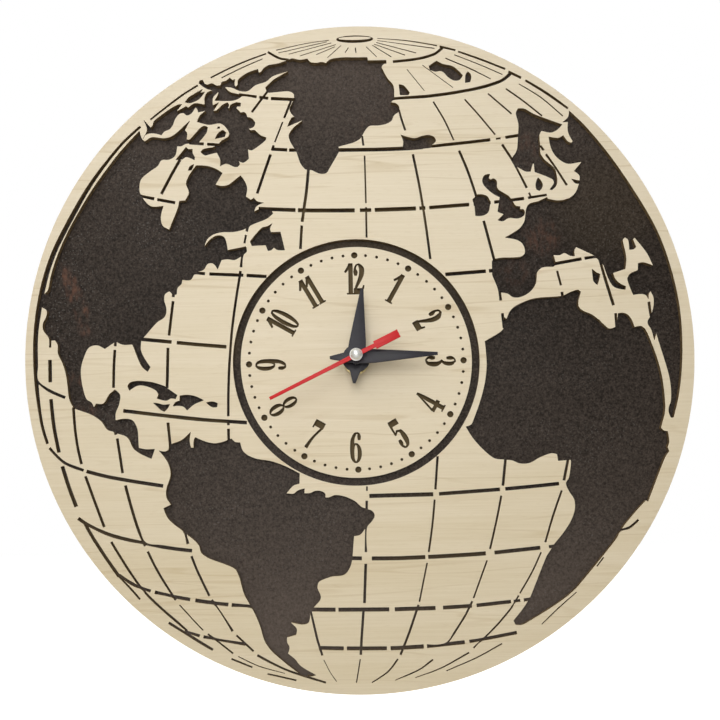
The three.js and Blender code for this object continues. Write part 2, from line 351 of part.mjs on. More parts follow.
// Parallels of the globe, from north to south: knots of each smooth line, then its open spans in X
// with the width of the saw cut
const PARALLELS = [
  {
    knots: [[-38.6, 139.2], [-37.2, 137.6], [-33, 136.1], [-29.5, 135.5], [4, 133.8], [18, 133.8],
      [25, 134.4], [33, 135.8], [37, 137.3], [39.8, 139.6]],
    spans: [[-38.6, -29.5, 0.8], [4, 14.4, 1.4], [17.5, 39.8, 1.1]],
  },
  {
    knots: [[-52, 120.2], [-44.4, 119.1], [-37.6, 118.2], [-27, 117.5], [17, 116.9], [33, 117.9],
      [45, 119.3], [55, 121], [62, 122.8], [67, 124.8], [70.2, 127.4]],
    spans: [[-52, -44.2, 1.1], [-42.8, -39, 1.1], [-37.6, -27, 1.2], [15, 70.2, 1.2]],
  },
  {
    knots: [[-76, 99], [-68.4, 98.3], [-62, 97.8], [-37.6, 95.4], [-27, 94.7], [-8, 94.4],
      [10, 94.3], [25, 94.6], [35, 95.4], [48, 96.5], [60, 97.7], [68, 98.7], [73.4, 99.5]],
    spans: [[-74.6, -68.3, 1.1], [-66.6, -61.5, 1.1], [-37.8, -30.9, 1.3], [-29.8, -25, 1.3],
      [-8, 30, 1.5], [30, 60.4, 1.2], [63, 65.2, 1], [67.4, 73.4, 1.1]],
  },
  {
    knots: [[-97.5, 75.6], [-90, 73.8], [-81.8, 72.1], [-60, 69.8], [-38, 68.3], [-20, 67.4],
      [4, 67.1], [26, 67.4], [50, 68.7], [62, 69.6], [75, 71], [85.4, 72.4]],
    spans: [[-97.5, -91, 1.2], [-89.5, -81.6, 1.2], [-44, -27.7, 1.5], [-26.4, -1.1, 1.6],
      [1.4, 6.4, 1.6], [8.1, 26.4, 1.6], [28.1, 30.7, 1.5], [32.6, 50.3, 1.4], [52.5, 60, 1.2],
      [61.8, 75, 1.2], [76.9, 85.3, 1.1]],
  },
  {
    knots: [[-75, 40.5], [-66, 39.7], [-52, 38.9], [-41, 38.1], [0, 37], [39, 37.5], [57, 38.6],
      [75, 40], [88.6, 41.4], [100, 43.3], [107.5, 44.2]],
    spans: [[-74.5, -68.8, 1.2], [-66.7, -51.6, 1.3], [-50, -41.2, 1.3], [39.2, 57.2, 1.4],
      [58.8, 61, 1.4], [88.4, 100.2, 1.2], [101.8, 107.5, 1.2]],
  },
  {
    knots: [[-98.5, 11.1], [-84.4, 9.5], [-75, 8.4], [-60, 6.9]],
    spans: [[-98, -84.3, 1.4], [-81.8, -59.8, 1.4]],
  },
  {
    knots: [[-146, -6], [-143, -8.9], [-140, -10.9], [-130, -15.3], [-106, -21], [-90, -23.2],
      [-70, -25.7], [-51, -27.3]],
    spans: [[-145.5, -132.4, 1.1], [-106.3, -51.2, 1.4]],
  },
  {
    knots: [[-139.7, -37], [-138.4, -40.4], [-133, -43.8], [-125, -47.2], [-115, -50.1],
      [-107, -51.8], [-89, -55], [-40, -60], [3, -61.2], [31, -61], [61, -59.4], [75, -58.4],
      [88, -57.3]],
    spans: [[-139.7, -124.7, 1.1], [-123.2, -89.2, 1.4], [3.2, 31.6, 1.6], [34.4, 61.5, 1.4],
      [64.1, 88, 1.4]],
  },
  {
    knots: [[-127.3, -68.8], [-124, -71.2], [-115, -75.7], [-105, -78.8], [-90, -82.2], [-77, -84.2],
      [-40, -87.4], [-5, -88.9], [15, -89.3], [45, -88.4], [59, -87.6], [86, -85.2]],
    spans: [[-127.3, -76.8, 1.4], [-6, -0.9, 1.5], [3.8, 27.5, 1.6], [29, 54.6, 1.6],
      [58.7, 79, 1.5], [83.1, 86, 1.3]],
  },
  {
    knots: [[-109.8, -94.2], [-106, -97], [-102, -99.4], [-96, -101.7], [-85, -104.6],
      [-70, -107.3], [-50, -109.8], [-23, -111.5], [14, -112.1], [31, -111.9], [48, -111.2],
      [65, -109.7], [75, -108.6]],
    spans: [[-109.4, -95.6, 1.2], [-93.6, -78, 1.4], [-75.5, -61, 1.5], [-59.3, -49.5, 1.5],
      [-24, -13.1, 1.6], [-11.6, 10.9, 1.6], [13.6, 31.6, 1.6], [35.2, 47.9, 1.5],
      [50.2, 65.4, 1.4], [66.8, 69.6, 1.2], [71.4, 75, 1.3]],
  },
  {
    knots: [[-80.5, -120.2], [-72, -122.8], [-54, -126.4], [-20, -128.7], [0, -129.3], [15, -129.4],
      [28, -128.8], [44, -127.4], [55, -125.8], [68, -123.5]],
    spans: [[-80.5, -74, 1.1], [-72.2, -53.5, 1.3], [-20.6, -9.8, 1.5], [-8.1, 9.5, 1.5],
      [11.4, 26, 1.6], [27.7, 44.4, 1.5], [46.6, 67.8, 1.4]],
  },
];

// Meridians of the globe, from west to east: knots, then open spans in Y with the width of the cut
const MERIDIANS = [
  {
    knots: [[-138.6, 12], [-138.9, 0], [-138.9, -8], [-138.7, -15], [-137.5, -28], [-135.5, -39],
      [-134, -45.6], [-131.2, -55], [-128.2, -63.4], [-124.4, -71], [-121.8, -76], [-115, -87],
      [-109.6, -95], [-105, -100], [-100.4, -105.4]],
    spans: [[8.2, 12, 0.8], [-7.4, 2.4, 1.4], [-39, -15.2, 1.4], [-63.4, -45.4, 1.5],
      [-95, -71.4, 1.3], [-105.4, -95, 0.7]],
  },
  {
    knots: [[-128.7, -19], [-128, -30], [-126.9, -38], [-125.5, -44.4], [-123.8, -50], [-120, -61],
      [-115.8, -72.8], [-112.7, -79.7], [-106, -91], [-100.8, -99], [-97, -103.6], [-90, -110.5],
      [-83.8, -116], [-79.6, -120]],
    spans: [[-44.4, -19, 1], [-72.8, -50, 1.1], [-120, -79.6, 0.9]],
  },
  {
    knots: [[-109.4, 10], [-110.2, 0], [-110.6, -10.5], [-110.2, -30], [-109.3, -33.3],
      [-107.2, -48.7], [-106, -54.5], [-103.6, -64], [-100.3, -75], [-97.6, -81.6], [-93.8, -90],
      [-90, -97], [-86, -103.5], [-82.8, -108.2], [-75, -117], [-72.3, -119.9]],
    spans: [[8.2, 10, 1], [-10.5, 6.4, 1.1], [-31.5, -30, 1.1], [-48.8, -33.3, 1.1],
      [-81.6, -54.5, 1.1], [-106, -84.2, 0.9], [-119.9, -108.2, 0.7]],
  },
  {
    knots: [[-38.8, 121.8], [-42.2, 117.6], [-46.3, 112.3], [-82.8, 32], [-83.2, 28], [-85.3, 12.6],
      [-86, 5], [-86.6, -11], [-86.5, -26], [-85.6, -38], [-80, -76], [-78.5, -81], [-77, -86.6],
      [-75, -92], [-69.3, -104.5], [-59.2, -120.4], [-50, -129.6]],
    spans: [[112.3, 121.8, 0.8], [29.8, 32, 1.1], [12.5, 27.8, 1.1], [-11, 6.8, 1.1],
      [-38.4, -26.7, 1.1], [-81, -74, 1.1], [-104.5, -86.6, 1], [-120.4, -106.4, 0.9],
      [-129.6, -122.4, 0.8]],
  },
  {
    knots: [[-28.4, 117.6], [-31.6, 110], [-36.1, 99], [-38.3, 93], [-41.6, 84], [-44.6, 75.6],
      [-49.3, 60], [-51.8, 47.5], [-53, 39], [-55, 28], [-57.2, 13], [-58.4, 0], [-59.1, -12],
      [-59.4, -24], [-59.4, -36]],
    spans: [[109.4, 117, 0.8], [98.4, 107.6, 0.8], [95, 97, 0.9], [75.6, 93, 1.1], [58.6, 61, 1],
      [53.2, 57, 1], [42.6, 48.6, 1], [-24.2, 40.8, 1], [-28.2, -26, 1], [-36, -30, 1]],
  },
  {
    knots: [[-21.3, 87], [-22.6, 75.5], [-23.8, 68], [-24.9, 60.6], [-25.7, 50.2], [-28, 0],
      [-24.2, -112], [-21.1, -126], [-19.3, -132], [-18.7, -134], [-15.7, -140], [-13, -144]],
    spans: [[62.5, 87, 1.1], [50.2, 60.7, 1.1], [-132, -112, 0.8], [-144, -134, 0.5]],
  },
  {
    knots: [[3, 99.8], [3.9, 92], [4.1, 70], [4.1, 54.8], [2.1, -56.4], [1.8, -66], [1.1, -85.8],
      [0.9, -91.6], [0, -109], [-0.6, -113], [-1.6, -125], [-2.2, -133], [-4.3, -144.7]],
    spans: [[96.3, 100.4, 0.7], [70.2, 91.7, 0.8], [54.8, 68.4, 0.8], [-59, -56.8, 0.9],
      [-86.2, -63.4, 0.9], [-109, -91.6, 1.1], [-132, -112, 0.9], [-144.6, -134, 0.7]],
  },
  {
    knots: [[19.7, 112], [21, 107], [22.3, 103], [25.6, 91.8], [28.3, 77], [29.8, 67], [31, 58],
      [32.5, 44.2], [34, -43.6], [33.3, -52], [32.3, -63.4], [31, -75], [29.2, -86.8], [28.3, -92],
      [24.6, -108.8], [19.2, -124], [15.7, -132.4]],
    spans: [[102.8, 112, 0.7], [44.6, 91.8, 1], [-58.8, -44, 1], [-86.8, -63.4, 0.9],
      [-109, -91.6, 0.8], [-132.4, -110.4, 0.8]],
  },
  {
    knots: [[35.2, 115.4], [40, 107], [44.1, 97.8], [46.4, 93], [50, 84], [53.2, 74], [56.6, 62],
      [61.1, 44], [63.3, 29], [64.3, 19.6], [64.9, 13], [64.4, -46], [63, -57.6], [59.6, -74],
      [56.6, -86], [55.2, -91], [48.8, -107.8], [45.2, -115], [40, -123], [36.4, -128]],
    spans: [[97.8, 115.4, 0.8], [71.5, 93, 0.9], [43, 61.2, 1], [25.4, 31, 1], [13, 19.5, 1],
      [-57.6, -45.4, 1], [-86, -62.2, 0.9], [-107.8, -91, 0.8], [-128, -109.2, 0.7]],
  },
  {
    knots: [[49.3, 116.2], [55, 109.6], [62.7, 100], [65.8, 95.4], [70.2, 88.4], [75.9, 76.8],
      [78, 72], [89, 39], [90.8, 31.8], [91.4, 26.8], [92.4, -46.4], [90.4, -55.6], [89.2, -60.6],
      [85, -72], [81.4, -83.4], [79.5, -87.8], [75, -97], [69.7, -105.8], [65.9, -112], [60, -119],
      [54, -125], [48.4, -130]],
    spans: [[100, 116.2, 0.8], [75.8, 95.4, 0.9], [71.4, 73.6, 0.8], [31.6, 38.2, 1], [26.4, 28.6, 1],
      [-55.8, -46.4, 1], [-83.4, -60.4, 0.9], [-106, -87.8, 0.8], [-130, -107, 0.7]],
  },
  {
    knots: [[59.8, 118.6], [70.3, 109.2], [83.4, 94], [85.3, 90.8], [89.6, 84.4], [94.4, 76.6],
      [108.2, 43.6], [110.8, 34], [114.2, 22.3], [115.1, 18.6], [115.4, 12.6]],
    spans: [[109.2, 118.6, 0.8], [92.6, 94.6, 0.8], [76.6, 90.8, 1], [22.3, 43.6, 1.1], [12.6, 18.6, 1]],
  },
  {
    knots: [[67.9, 120.6], [75, 115.4], [84, 108], [130.1, 23.4], [130.9, 17]],
    spans: [[108, 120.6, 0.8], [17, 23.4, 1]],
  },
];

// The globe's edge and the fan of lines at its poles: pen strokes, each point with its width
const LIMB_STROKES = [
  [[-96.6, 106.6, 0.9], [-104, 100, 1], [-112, 90.8, 1.2], [-120, 80, 1.6], [-126.4, 69.4, 1.9],
    [-131.3, 60.6, 2], [-136.4, 50.4, 2], [-140, 40.4, 2.1], [-142.7, 29.6, 2.1], [-145, 14, 1.9],
    [-145.3, 0, 1.9], [-145, -9, 1.6], [-143.9, -20, 1.2], [-142.6, -28, 1.1], [-140.6, -35, 1.1]],
  [[-92, 109.7, 0.8], [-84, 115.8, 0.9], [-77, 120.8, 0.9], [-70.4, 124.8, 0.9]],
  [[-64.6, 128.1, 0.8], [-56, 132.2, 0.8], [-48, 135.5, 0.8], [-39.4, 138.5, 0.7]],
  [[-59.8, 127.9, 0.7], [-50, 132.5, 0.7], [-41, 136.2, 0.6]],
  [[-35, 139.9, 0.6], [-22, 142.6, 0.5], [-11, 144, 0.5]],
  [[-34, 138.7, 0.5], [-12, 143.3, 0.5]],
  [[-29.4, 138, 0.5], [-10, 142.8, 0.5]],
  [[-24.4, 137.1, 0.5], [-8, 142, 0.5]],
  [[-17, 137.6, 0.5], [-8.4, 141, 0.5]],
  [[-12, 136.1, 0.5], [-5.6, 141.6, 0.5]],
  [[-4, 138.2, 0.6], [-2.4, 140.6, 0.6]],
  [[0.9, 138, 0.6], [0.7, 140.5, 0.6]],
  [[37.5, 140.6, 0.7], [24, 143.1, 0.6], [10.5, 144.4, 0.5]],
  [[36.3, 139.4, 0.6], [10.5, 143.5, 0.5]],
  [[28, 137.5, 0.6], [10, 142.6, 0.5]],
  [[23, 136.6, 0.6], [9, 141.9, 0.5]],
  [[16.8, 135.9, 0.6], [8.3, 141.4, 0.5]],
  [[10.2, 136, 0.5], [5.5, 140.8, 0.5]],
  [[38.6, 140.2, 0.9], [45.6, 138.4, 0.7]],
  [[46.8, 137.8, 0.8], [57, 134, 0.9], [67.8, 129.5, 0.9]],
  [[69.3, 128.2, 1], [74.8, 125.4, 0.9]],
  [[76.8, 124.2, 0.9], [85, 119, 1.1], [95.6, 111.2, 0.9]],
  [[45, 136.4, 0.6], [57, 131.4, 0.6], [66.6, 127, 0.6]],
  [[41, 134.9, 0.7], [52, 130, 0.7], [61.3, 125.1, 0.6]],
  [[30.6, 132, 0.5], [44.3, 121.5, 0.5]],
  [[23.6, 130.3, 0.5], [31.4, 120.3, 0.5]],
  [[73.8, 122.7, 0.6], [83, 116.8, 0.7], [93.4, 107.7, 0.7]],
  [[-79, 91.4, 1.1], [-83, 84.6, 1.1], [-87.6, 76.2, 1.1]],
  [[-48.2, -131.5, 0.9], [-42, -135, 0.8], [-35, -138.4, 0.7], [-18, -144.2, 0.6]],
  [[-70.2, -121.6, 0.7], [-66, -124.8, 0.7], [-59.2, -130.4, 0.6]],
  [[-57, -131.8, 0.6], [-48, -136.2, 0.6], [-36, -139.8, 0.5]],
  [[-87.6, -116.2, 1], [-80, -121, 1.2], [-74, -125, 1.1], [-68.2, -128.6, 0.9]],
  [[-60, -132.8, 0.9], [-50.6, -136.8, 0.8]],
  [[-44, -139.8, 0.8], [-31, -143, 0.8]],
  [[14.5, -134.3, 0.9], [10, -139.8, 0.8], [6, -142.6, 0.7], [2.6, -144.6, 0.6]],
  [[30.2, -134.8, 0.9], [25, -138.6, 0.8], [13, -143.8, 0.5]],
  [[46.4, -132, 0.9], [33, -139, 0.7], [22, -142.8, 0.5]],
  [[61.2, -128.3, 0.8], [50, -134.2, 0.7], [36, -140, 0.6]],
  [[95, -105.9, 0.6], [88, -111.8, 0.7], [79, -120.1, 0.6]],
  [[107.4, -90.6, 0.8], [104.2, -94.7, 0.7]],
  [[114.4, -79, 0.9], [119, -77.6, 0.9], [123.2, -74.2, 0.8]],
];

// Oval slot at the north pole and the island inside it: middle and half sizes
const POLE_INSET = 5.75;
const POLE_SLOT = [0.45, DRAWN_RADIUS - POLE_INSET, 8.25, 1.55];
const POLE_ISLAND = [0.45, DRAWN_RADIUS - POLE_INSET + 0.4, 7.35, 0.75];

// Numerals, drawn upright about their middles as pen strokes, each point with the width of the pen.
// A loop is an oval: middle, half sizes outside, half sizes of its open eye.
const GLYPHS = {
  0: { width: 5.2, strokes: [], loops: [[0, 0, 2.5, 6.9, 0.75, 6.2]] },
  1: {
    width: 3.4,
    strokes: [
      [[0.55, 6.9, 1.8], [0.55, -6.9, 1.8]],
      [[0.3, 6.1, 1.5], [-1.9, 3, 0.7]],
      [[-1.1, -6.65, 0.5], [2.2, -6.65, 0.5]],
    ],
    loops: [],
  },
  2: {
    width: 4.8,
    strokes: [
      [[-1.3, 1.5, 1], [-1.3, 3, 1.7], [-1.5, 4.7, 0.7], [-0.8, 6.2, 0.6], [0.2, 6.5, 0.8],
        [1.3, 4.9, 1.9], [1.4, 2.4, 2], [0.3, -0.8, 1.5], [-1.1, -3.8, 0.9], [-1.8, -6.6, 0.7]],
      [[-2.1, -5.6, 2.6], [2.1, -5.6, 2.6]],
      [[1.9, -4.6, 0.7], [2.3, -3, 0.5]],
    ],
    loops: [],
  },
  3: {
    width: 4.8,
    strokes: [
      [[-1.2, 2.7, 1], [-1.2, 4.4, 1.6], [-0.9, 6, 0.7], [0.2, 6.55, 0.6], [1.2, 5.2, 1.4],
        [1.3, 3, 1.7], [0.5, 0.9, 1], [-0.4, 0.2, 0.6]],
      [[0.4, 0.2, 0.9], [1.3, -1.4, 1.7], [1.4, -4, 1.9], [0.7, -6.1, 1], [-0.4, -6.6, 0.6],
        [-1.4, -5.6, 0.8], [-1.4, -4, 1.6], [-1.4, -2.6, 1]],
    ],
    loops: [],
  },
  4: {
    width: 5.4,
    strokes: [
      [[0.9, 6.9, 1], [0.9, 2, 1.8], [0.9, -6.7, 1.8]],
      [[0.7, 6.3, 0.7], [-2.3, -2.6, 0.8]],
      [[-2.7, -3, 1.6], [2.7, -3, 1.6]],
      [[-0.8, -6.65, 0.5], [2.4, -6.65, 0.5]],
    ],
    loops: [],
  },
  5: {
    width: 4.8,
    strokes: [
      [[-2, 5.6, 2.6], [2, 5.6, 2.6]],
      [[-1.8, 6, 0.8], [-1.8, 0.2, 0.6]],
      [[-1.8, 0.3, 0.5], [-0.4, 1.7, 0.8], [1, 1.1, 1.4], [1.4, -1.6, 2], [1.3, -4.2, 1.8],
        [0.5, -6.2, 0.9], [-0.6, -6.5, 0.6], [-1.5, -5.4, 0.8], [-1.4, -3.8, 1.6], [-1.4, -2.4, 1]],
    ],
    loops: [],
  },
  6: {
    width: 5,
    strokes: [
      [[1.5, 3.4, 1], [1.5, 5, 1.4], [1.1, 6.3, 0.7], [0.1, 6.4, 0.7], [-1.2, 4.4, 1.3],
        [-1.7, 0.6, 1.6], [-1.75, -2.6, 1.5]],
    ],
    loops: [[0, -2.5, 2.5, 4.4, 0.75, 3.7]],
  },
  7: {
    width: 4.8,
    strokes: [
      [[-2.3, 5.4, 2.8], [2.3, 5.4, 2.8]],
      [[2, 5, 0.8], [0.2, -1, 0.9], [-0.5, -6.6, 1.4]],
      [[-2, 4.4, 0.6], [-2.1, 3, 0.5]],
    ],
    loops: [],
  },
  8: { width: 4.8, strokes: [], loops: [[0, 3.5, 2.2, 3.4, 0.7, 2.8], [0, -3.3, 2.4, 3.6, 0.75, 3]] },
  9: {
    width: 5,
    strokes: [
      [[-1.5, -3.4, 1], [-1.5, -5, 1.4], [-1.1, -6.3, 0.7], [-0.1, -6.4, 0.7], [1.2, -4.4, 1.3],
        [1.7, -0.6, 1.6], [1.75, 2.6, 1.5]],
    ],
    loops: [[0, 2.5, 2.5, 4.4, 0.75, 3.7]],
  },
};
const INWARD_NUMERALS = [4, 5, 6, 7, 8]; // these stand with their tops to the middle, to read upright
// Numerals set a little off their places, along and up the numeral
const NUMERAL_NUDGES = {
  1: [-1.1, 0], 3: [0, 0.3], 6: [-0.9, -0.7], 7: [-0.9, -0.2], 8: [0, -0.7], 9: [-0.4, 0.8], 11: [-1.4, 0],
};

// Solids

// Welds a geometry, drops triangles without area and turns an inside-out skin round.
function welded(geometry) {
  const bare = geometry.clone();
  bare.deleteAttribute('normal');
  bare.deleteAttribute('uv');
  const merged = mergeVertices(bare);
  const corners = merged.index.array;
  const kept = [];
  for (let t = 0; t < corners.length; t += 3) {
    const [a, b, c] = corners.slice(t, t + 3);
    if (a !== b && b !== c && c !== a) kept.push([a, b, c]);
  }
  const at = (i) => new THREE.Vector3().fromBufferAttribute(merged.attributes.position, i);
  const volume = kept.reduce((sum, [a, b, c]) => sum + at(a).dot(at(b).cross(at(c))), 0);
  merged.setIndex(kept.flatMap(([a, b, c]) => (volume < 0 ? [a, c, b] : [a, b, c])));
  return merged;
}

function toSolid(geometry) {
  const skin = welded(geometry);
  return new wasm.Manifold(new wasm.Mesh({
    numProp: 3,
    vertProperties: skin.attributes.position.array,
    triVerts: Uint32Array.from(skin.index.array),
  }));
}

function toGeometry(solid) {
  const { vertProperties, triVerts } = solid.getMesh();
  const geometry = new THREE.BufferGeometry();
  geometry.setAttribute('position', new THREE.Float32BufferAttribute(vertProperties, 3));
  geometry.setIndex(new THREE.Uint32BufferAttribute(triVerts, 1));
  return geometry;
}

function join(geometries) {
  return geometries.map(toSolid).reduce((whole, part) => whole.add(part));
}

function cut(geometry, cutters) {
  return toGeometry(toSolid(geometry).subtract(join(cutters)));
}

function fuse(geometries) {
  return toGeometry(join(geometries));
}

// Splits a geometry into its separate pieces, the largest first.
function separatePieces(geometry) {
  const index = geometry.index.array;
  const parent = Array.from({ length: geometry.attributes.position.count }, (_, i) => i);
  const root = (i) => {
    let at = i;
    while (parent[at] !== at) {
      parent[at] = parent[parent[at]];
      at = parent[at];
    }
    return at;
  };
  for (let t = 0; t < index.length; t += 3) {
    parent[root(index[t])] = root(index[t + 1]);
    parent[root(index[t + 1])] = root(index[t + 2]);
  }
  const groups = new Map();
  for (let t = 0; t < index.length; t += 3) {
    const key = root(index[t]);
    if (!groups.has(key)) groups.set(key, []);
    groups.get(key).push(index[t], index[t + 1], index[t + 2]);
  }
  const pieces = [...groups.values()].map((triangles) => {
    const piece = new THREE.BufferGeometry();
    piece.setAttribute('position', geometry.attributes.position);
    piece.setIndex(triangles);
    return mergeVertices(piece.toNonIndexed());
  });
  const footprint = (piece) => {
    piece.computeBoundingBox();
    const size = piece.boundingBox.getSize(new THREE.Vector3());
    return size.x * size.y;
  };
  return pieces.sort((a, b) => footprint(b) - footprint(a));
}

// Flat outlines

function polygon(points) {
  return new THREE.Shape(points.map(([x, y]) => new THREE.Vector2(x, y)));
}

// A closed outline of straight reaches, with the corners between long reaches rounded off.
function coastline(points) {
  const corner = (i) => new THREE.Vector2(...points[(i + points.length) % points.length]);
  const rounded = points.flatMap((point, i) => {
    const reaches = [corner(i - 1), corner(i + 1)];
    const long = reaches.every((reach) => reach.distanceTo(corner(i)) > LONG_EDGE);
    return long ? reaches.map((reach) => corner(i).lerp(reach, CORNER_CUT).toArray()) : [point];
  });
  return polygon(rounded);
}

function ellipse(x, y, halfWidth, halfHeight) {
  return new THREE.Shape().absellipse(x, y, halfWidth, halfHeight, 0, 2 * Math.PI);
}

function roundedRectangle(width, height, corner, x = 0, y = 0) {
  const shape = new THREE.Shape();
  const [right, top] = [width / 2, height / 2];
  shape.absarc(x + right - corner, y + top - corner, corner, 0, Math.PI / 2);
  shape.absarc(x - right + corner, y + top - corner, corner, Math.PI / 2, Math.PI);
  shape.absarc(x - right + corner, y - top + corner, corner, Math.PI, 1.5 * Math.PI);
  shape.absarc(x + right - corner, y - top + corner, corner, 1.5 * Math.PI, 2 * Math.PI);
  return shape;
}

// The outline of a pen stroke through points that each carry a width.
function penStroke(points, stepsBetween) {
  const curve = new THREE.CatmullRomCurve3(points.map((p) => new THREE.Vector3(...p)), false, 'centripetal');
  const count = points.length === 2 ? 1 : (points.length - 1) * stepsBetween;
  const along = curve.getPoints(count);
  const sides = along.map((point, i) => {
    const before = along[Math.max(i - 1, 0)];
    const after = along[Math.min(i + 1, count)];
    const normal = new THREE.Vector2(before.y - after.y, after.x - before.x).setLength(point.z / 2);
    return [[point.x + normal.x, point.y + normal.y], [point.x - normal.x, point.y - normal.y]];
  });
  return polygon([...sides.map((side) => side[0]), ...sides.map((side) => side[1]).reverse()]);
}

// The place of a smooth line at t on one axis, from knots in any order along that axis.
function lineAt(knots, axis, t) {
  const sorted = [...knots].sort((a, b) => a[axis] - b[axis]);
  const last = sorted.length - 1;
  let i = 0;
  while (i < last - 1 && t > sorted[i + 1][axis]) i += 1;
  const other = 1 - axis;
  const slope = (k) => {
    const before = sorted[Math.max(k - 1, 0)];
    const after = sorted[Math.min(k + 1, last)];
    return (after[other] - before[other]) / (after[axis] - before[axis]);
  };
  const [start, end] = [sorted[i], sorted[i + 1]];
  const span = end[axis] - start[axis];
  const u = (t - start[axis]) / span;
  const value = (2 * u ** 3 - 3 * u ** 2 + 1) * start[other] + (u ** 3 - 2 * u ** 2 + u) * span * slope(i)
    + (3 * u ** 2 - 2 * u ** 3) * end[other] + (u ** 3 - u ** 2) * span * slope(i + 1);
  return axis === 0 ? [t, value] : [value, t];
}

function lineSlots(lines, axis) {
  return lines.flatMap(({ knots, spans }) => spans.map(([from, to, width]) => {
    const between = knots.map((knot) => knot[axis]).filter((t) => t > from + KNOT_GAP && t < to - KNOT_GAP);
    const stops = [from, ...between.sort((p, q) => p - q), to];
    return penStroke(stops.map((t) => [...lineAt(knots, axis, t), width]), 1);
  }));
}

// Simple bodies

function extrude(shape, depth, z = 0, curveSegments = ROUND_SIDES / 8) {
  const geometry = new THREE.ExtrudeGeometry(shape, { depth, bevelEnabled: false, steps: 1, curveSegments });
  return geometry.translate(0, 0, z);
}

// A body turned about the hand axis, from its profile of [radius, z] corners.
function turned(profile, sides = SHAFT_SIDES) {
  const points = profile.map(([radius, z]) => new THREE.Vector2(radius, z));
  return new THREE.LatheGeometry(points, sides).rotateX(Math.PI / 2);
}

function tube(inner, outer, back, front, sides = SHAFT_SIDES) {
  const profile = [[inner, back], [outer, back], [outer, front], [inner, front], [inner, back]];
  return turned(profile, sides);
}

function rod(radius, back, front, sides = SHAFT_SIDES) {
  return turned([[0, back], [radius, back], [radius, front], [0, front]], sides);
}

// The pieces, front to back

const clock = new THREE.Group();
clock.name = 'world_map_wall_clock';
clock.rotation.x = Math.PI / 2;

function add(name, geometry, finish) {
  const skin = welded(geometry).toNonIndexed();
  skin.computeVertexNormals();
  const mesh = new THREE.Mesh(skin, new THREE.MeshStandardMaterial(finish));
  mesh.name = name;
  clock.add(mesh);
}

// Disc with the map cut through it

function onMap(shape, overcut = OVERCUT) {
  const [x, y] = DIAL_CENTRE;
  const body = extrude(shape, PANEL_THICKNESS + 2 * overcut, PANEL_BACK - overcut, POLE_SIDES / 2);
  return body.translate(-x, -y, 0).scale(MAP_SCALE, MAP_SCALE, 1);
}

function poleSlot() {
  const slot = ellipse(...POLE_SLOT);
  slot.holes.push(ellipse(...POLE_ISLAND));
  return slot;
}

function disc(radius, thickness, back) {
  const [x, y] = DIAL_CENTRE;
  const plate = rod(radius, back, back + thickness, DISC_SIDES);
  return plate.translate(-x * MAP_SCALE, -y * MAP_SCALE, 0);
}

// What the cuts leave loose falls out, so only the panel itself is kept.
function frontPanel() {
  const land = Object.values(LAND).map(coastline);
  const strokes = LIMB_STROKES.map((points) => penStroke(points, 1));
  const lines = [...lineSlots(PARALLELS, 0), ...lineSlots(MERIDIANS, 1), ...strokes, poleSlot()];
  const ring = rod(RING_HOLE_RADIUS, PANEL_BACK - OVERCUT, PANEL_FACE + OVERCUT, RING_SIDES);
  const plate = disc(PANEL_RADIUS, PANEL_THICKNESS, PANEL_BACK);
  const [panel] = separatePieces(cut(plate, [ring, ...[...land, ...lines].map((shape) => onMap(shape))]));
  return panel;
}

add('front_panel', frontPanel(), MATERIALS.maple);
add('pole_island', onMap(ellipse(...POLE_ISLAND), 0), MATERIALS.maple);

// Dial with its dots and numerals cut through it

function throughDial(shape, curveSegments) {
  return extrude(shape, PANEL_THICKNESS + 2 * OVERCUT, PANEL_BACK - OVERCUT, curveSegments);
}

function clockAngle(degrees) {
  return -THREE.MathUtils.degToRad(degrees);
}

function hourDot(hour) {
  const dot = rod(DOT_RADIUS, PANEL_BACK - OVERCUT, PANEL_FACE + OVERCUT, DOT_SIDES);
  return dot.translate(0, DOT_CIRCLE, 0).rotateZ(clockAngle(hour * HOUR_ANGLE));
}

function glyphCutters({ strokes, loops }) {
  const pens = strokes.map((points) => throughDial(penStroke(points, 1)));
  const ovals = loops.map(([x, y, outerX, outerY, eyeX, eyeY]) => {
    const oval = ellipse(x, y, outerX, outerY);
    oval.holes.push(ellipse(x, y, eyeX, eyeY));
    return throughDial(oval, LOOP_SIDES / 2);
  });
  return [...pens, ...ovals];
}

function numeralCutters(hour) {
  const glyphs = [...String(hour)].map((digit) => GLYPHS[digit]);
  const total = glyphs.reduce((sum, glyph) => sum + glyph.width, 0);
  const turn = INWARD_NUMERALS.includes(hour) ? Math.PI : 0;
  const [along, up] = NUMERAL_NUDGES[hour] ?? [0, 0];
  let left = -total / 2;
  return glyphs.flatMap((glyph) => {
    const middle = left + glyph.width / 2;
    left += glyph.width;
    return glyphCutters(glyph).map((cutter) => cutter
      .translate(middle + along, up, 0)
      .scale(NUMERAL_SCALE, NUMERAL_SCALE, 1)
      .rotateZ(turn)
      .translate(0, NUMERAL_CIRCLE, 0)
      .rotateZ(clockAngle(hour * HOUR_ANGLE)));
  });
}

function dialPieces() {
  const hours = Array.from({ length: HOURS }, (_, i) => i + 1);
  const hole = rod(BUSHING_RADIUS + FIT_GAP, PANEL_BACK - OVERCUT, PANEL_FACE + OVERCUT);
  const plate = rod(DIAL_RADIUS, PANEL_BACK, PANEL_FACE, RING_SIDES);
  return separatePieces(cut(plate, [hole, ...hours.map(hourDot), ...hours.flatMap(numeralCutters)]));
}

// The eye of a numeral is named after its hour, and the outer eye of two is the second.
function eyeName(piece, taken) {
  const middle = piece.boundingBox.getCenter(new THREE.Vector3());
  const angle = THREE.MathUtils.radToDeg(Math.atan2(middle.x, middle.y));
  const hour = (Math.round(angle / HOUR_ANGLE) + HOURS) % HOURS;
  const name = `numeral_eye_${hour}`;
  return taken.includes(name) ? `${name}_b` : name;
}

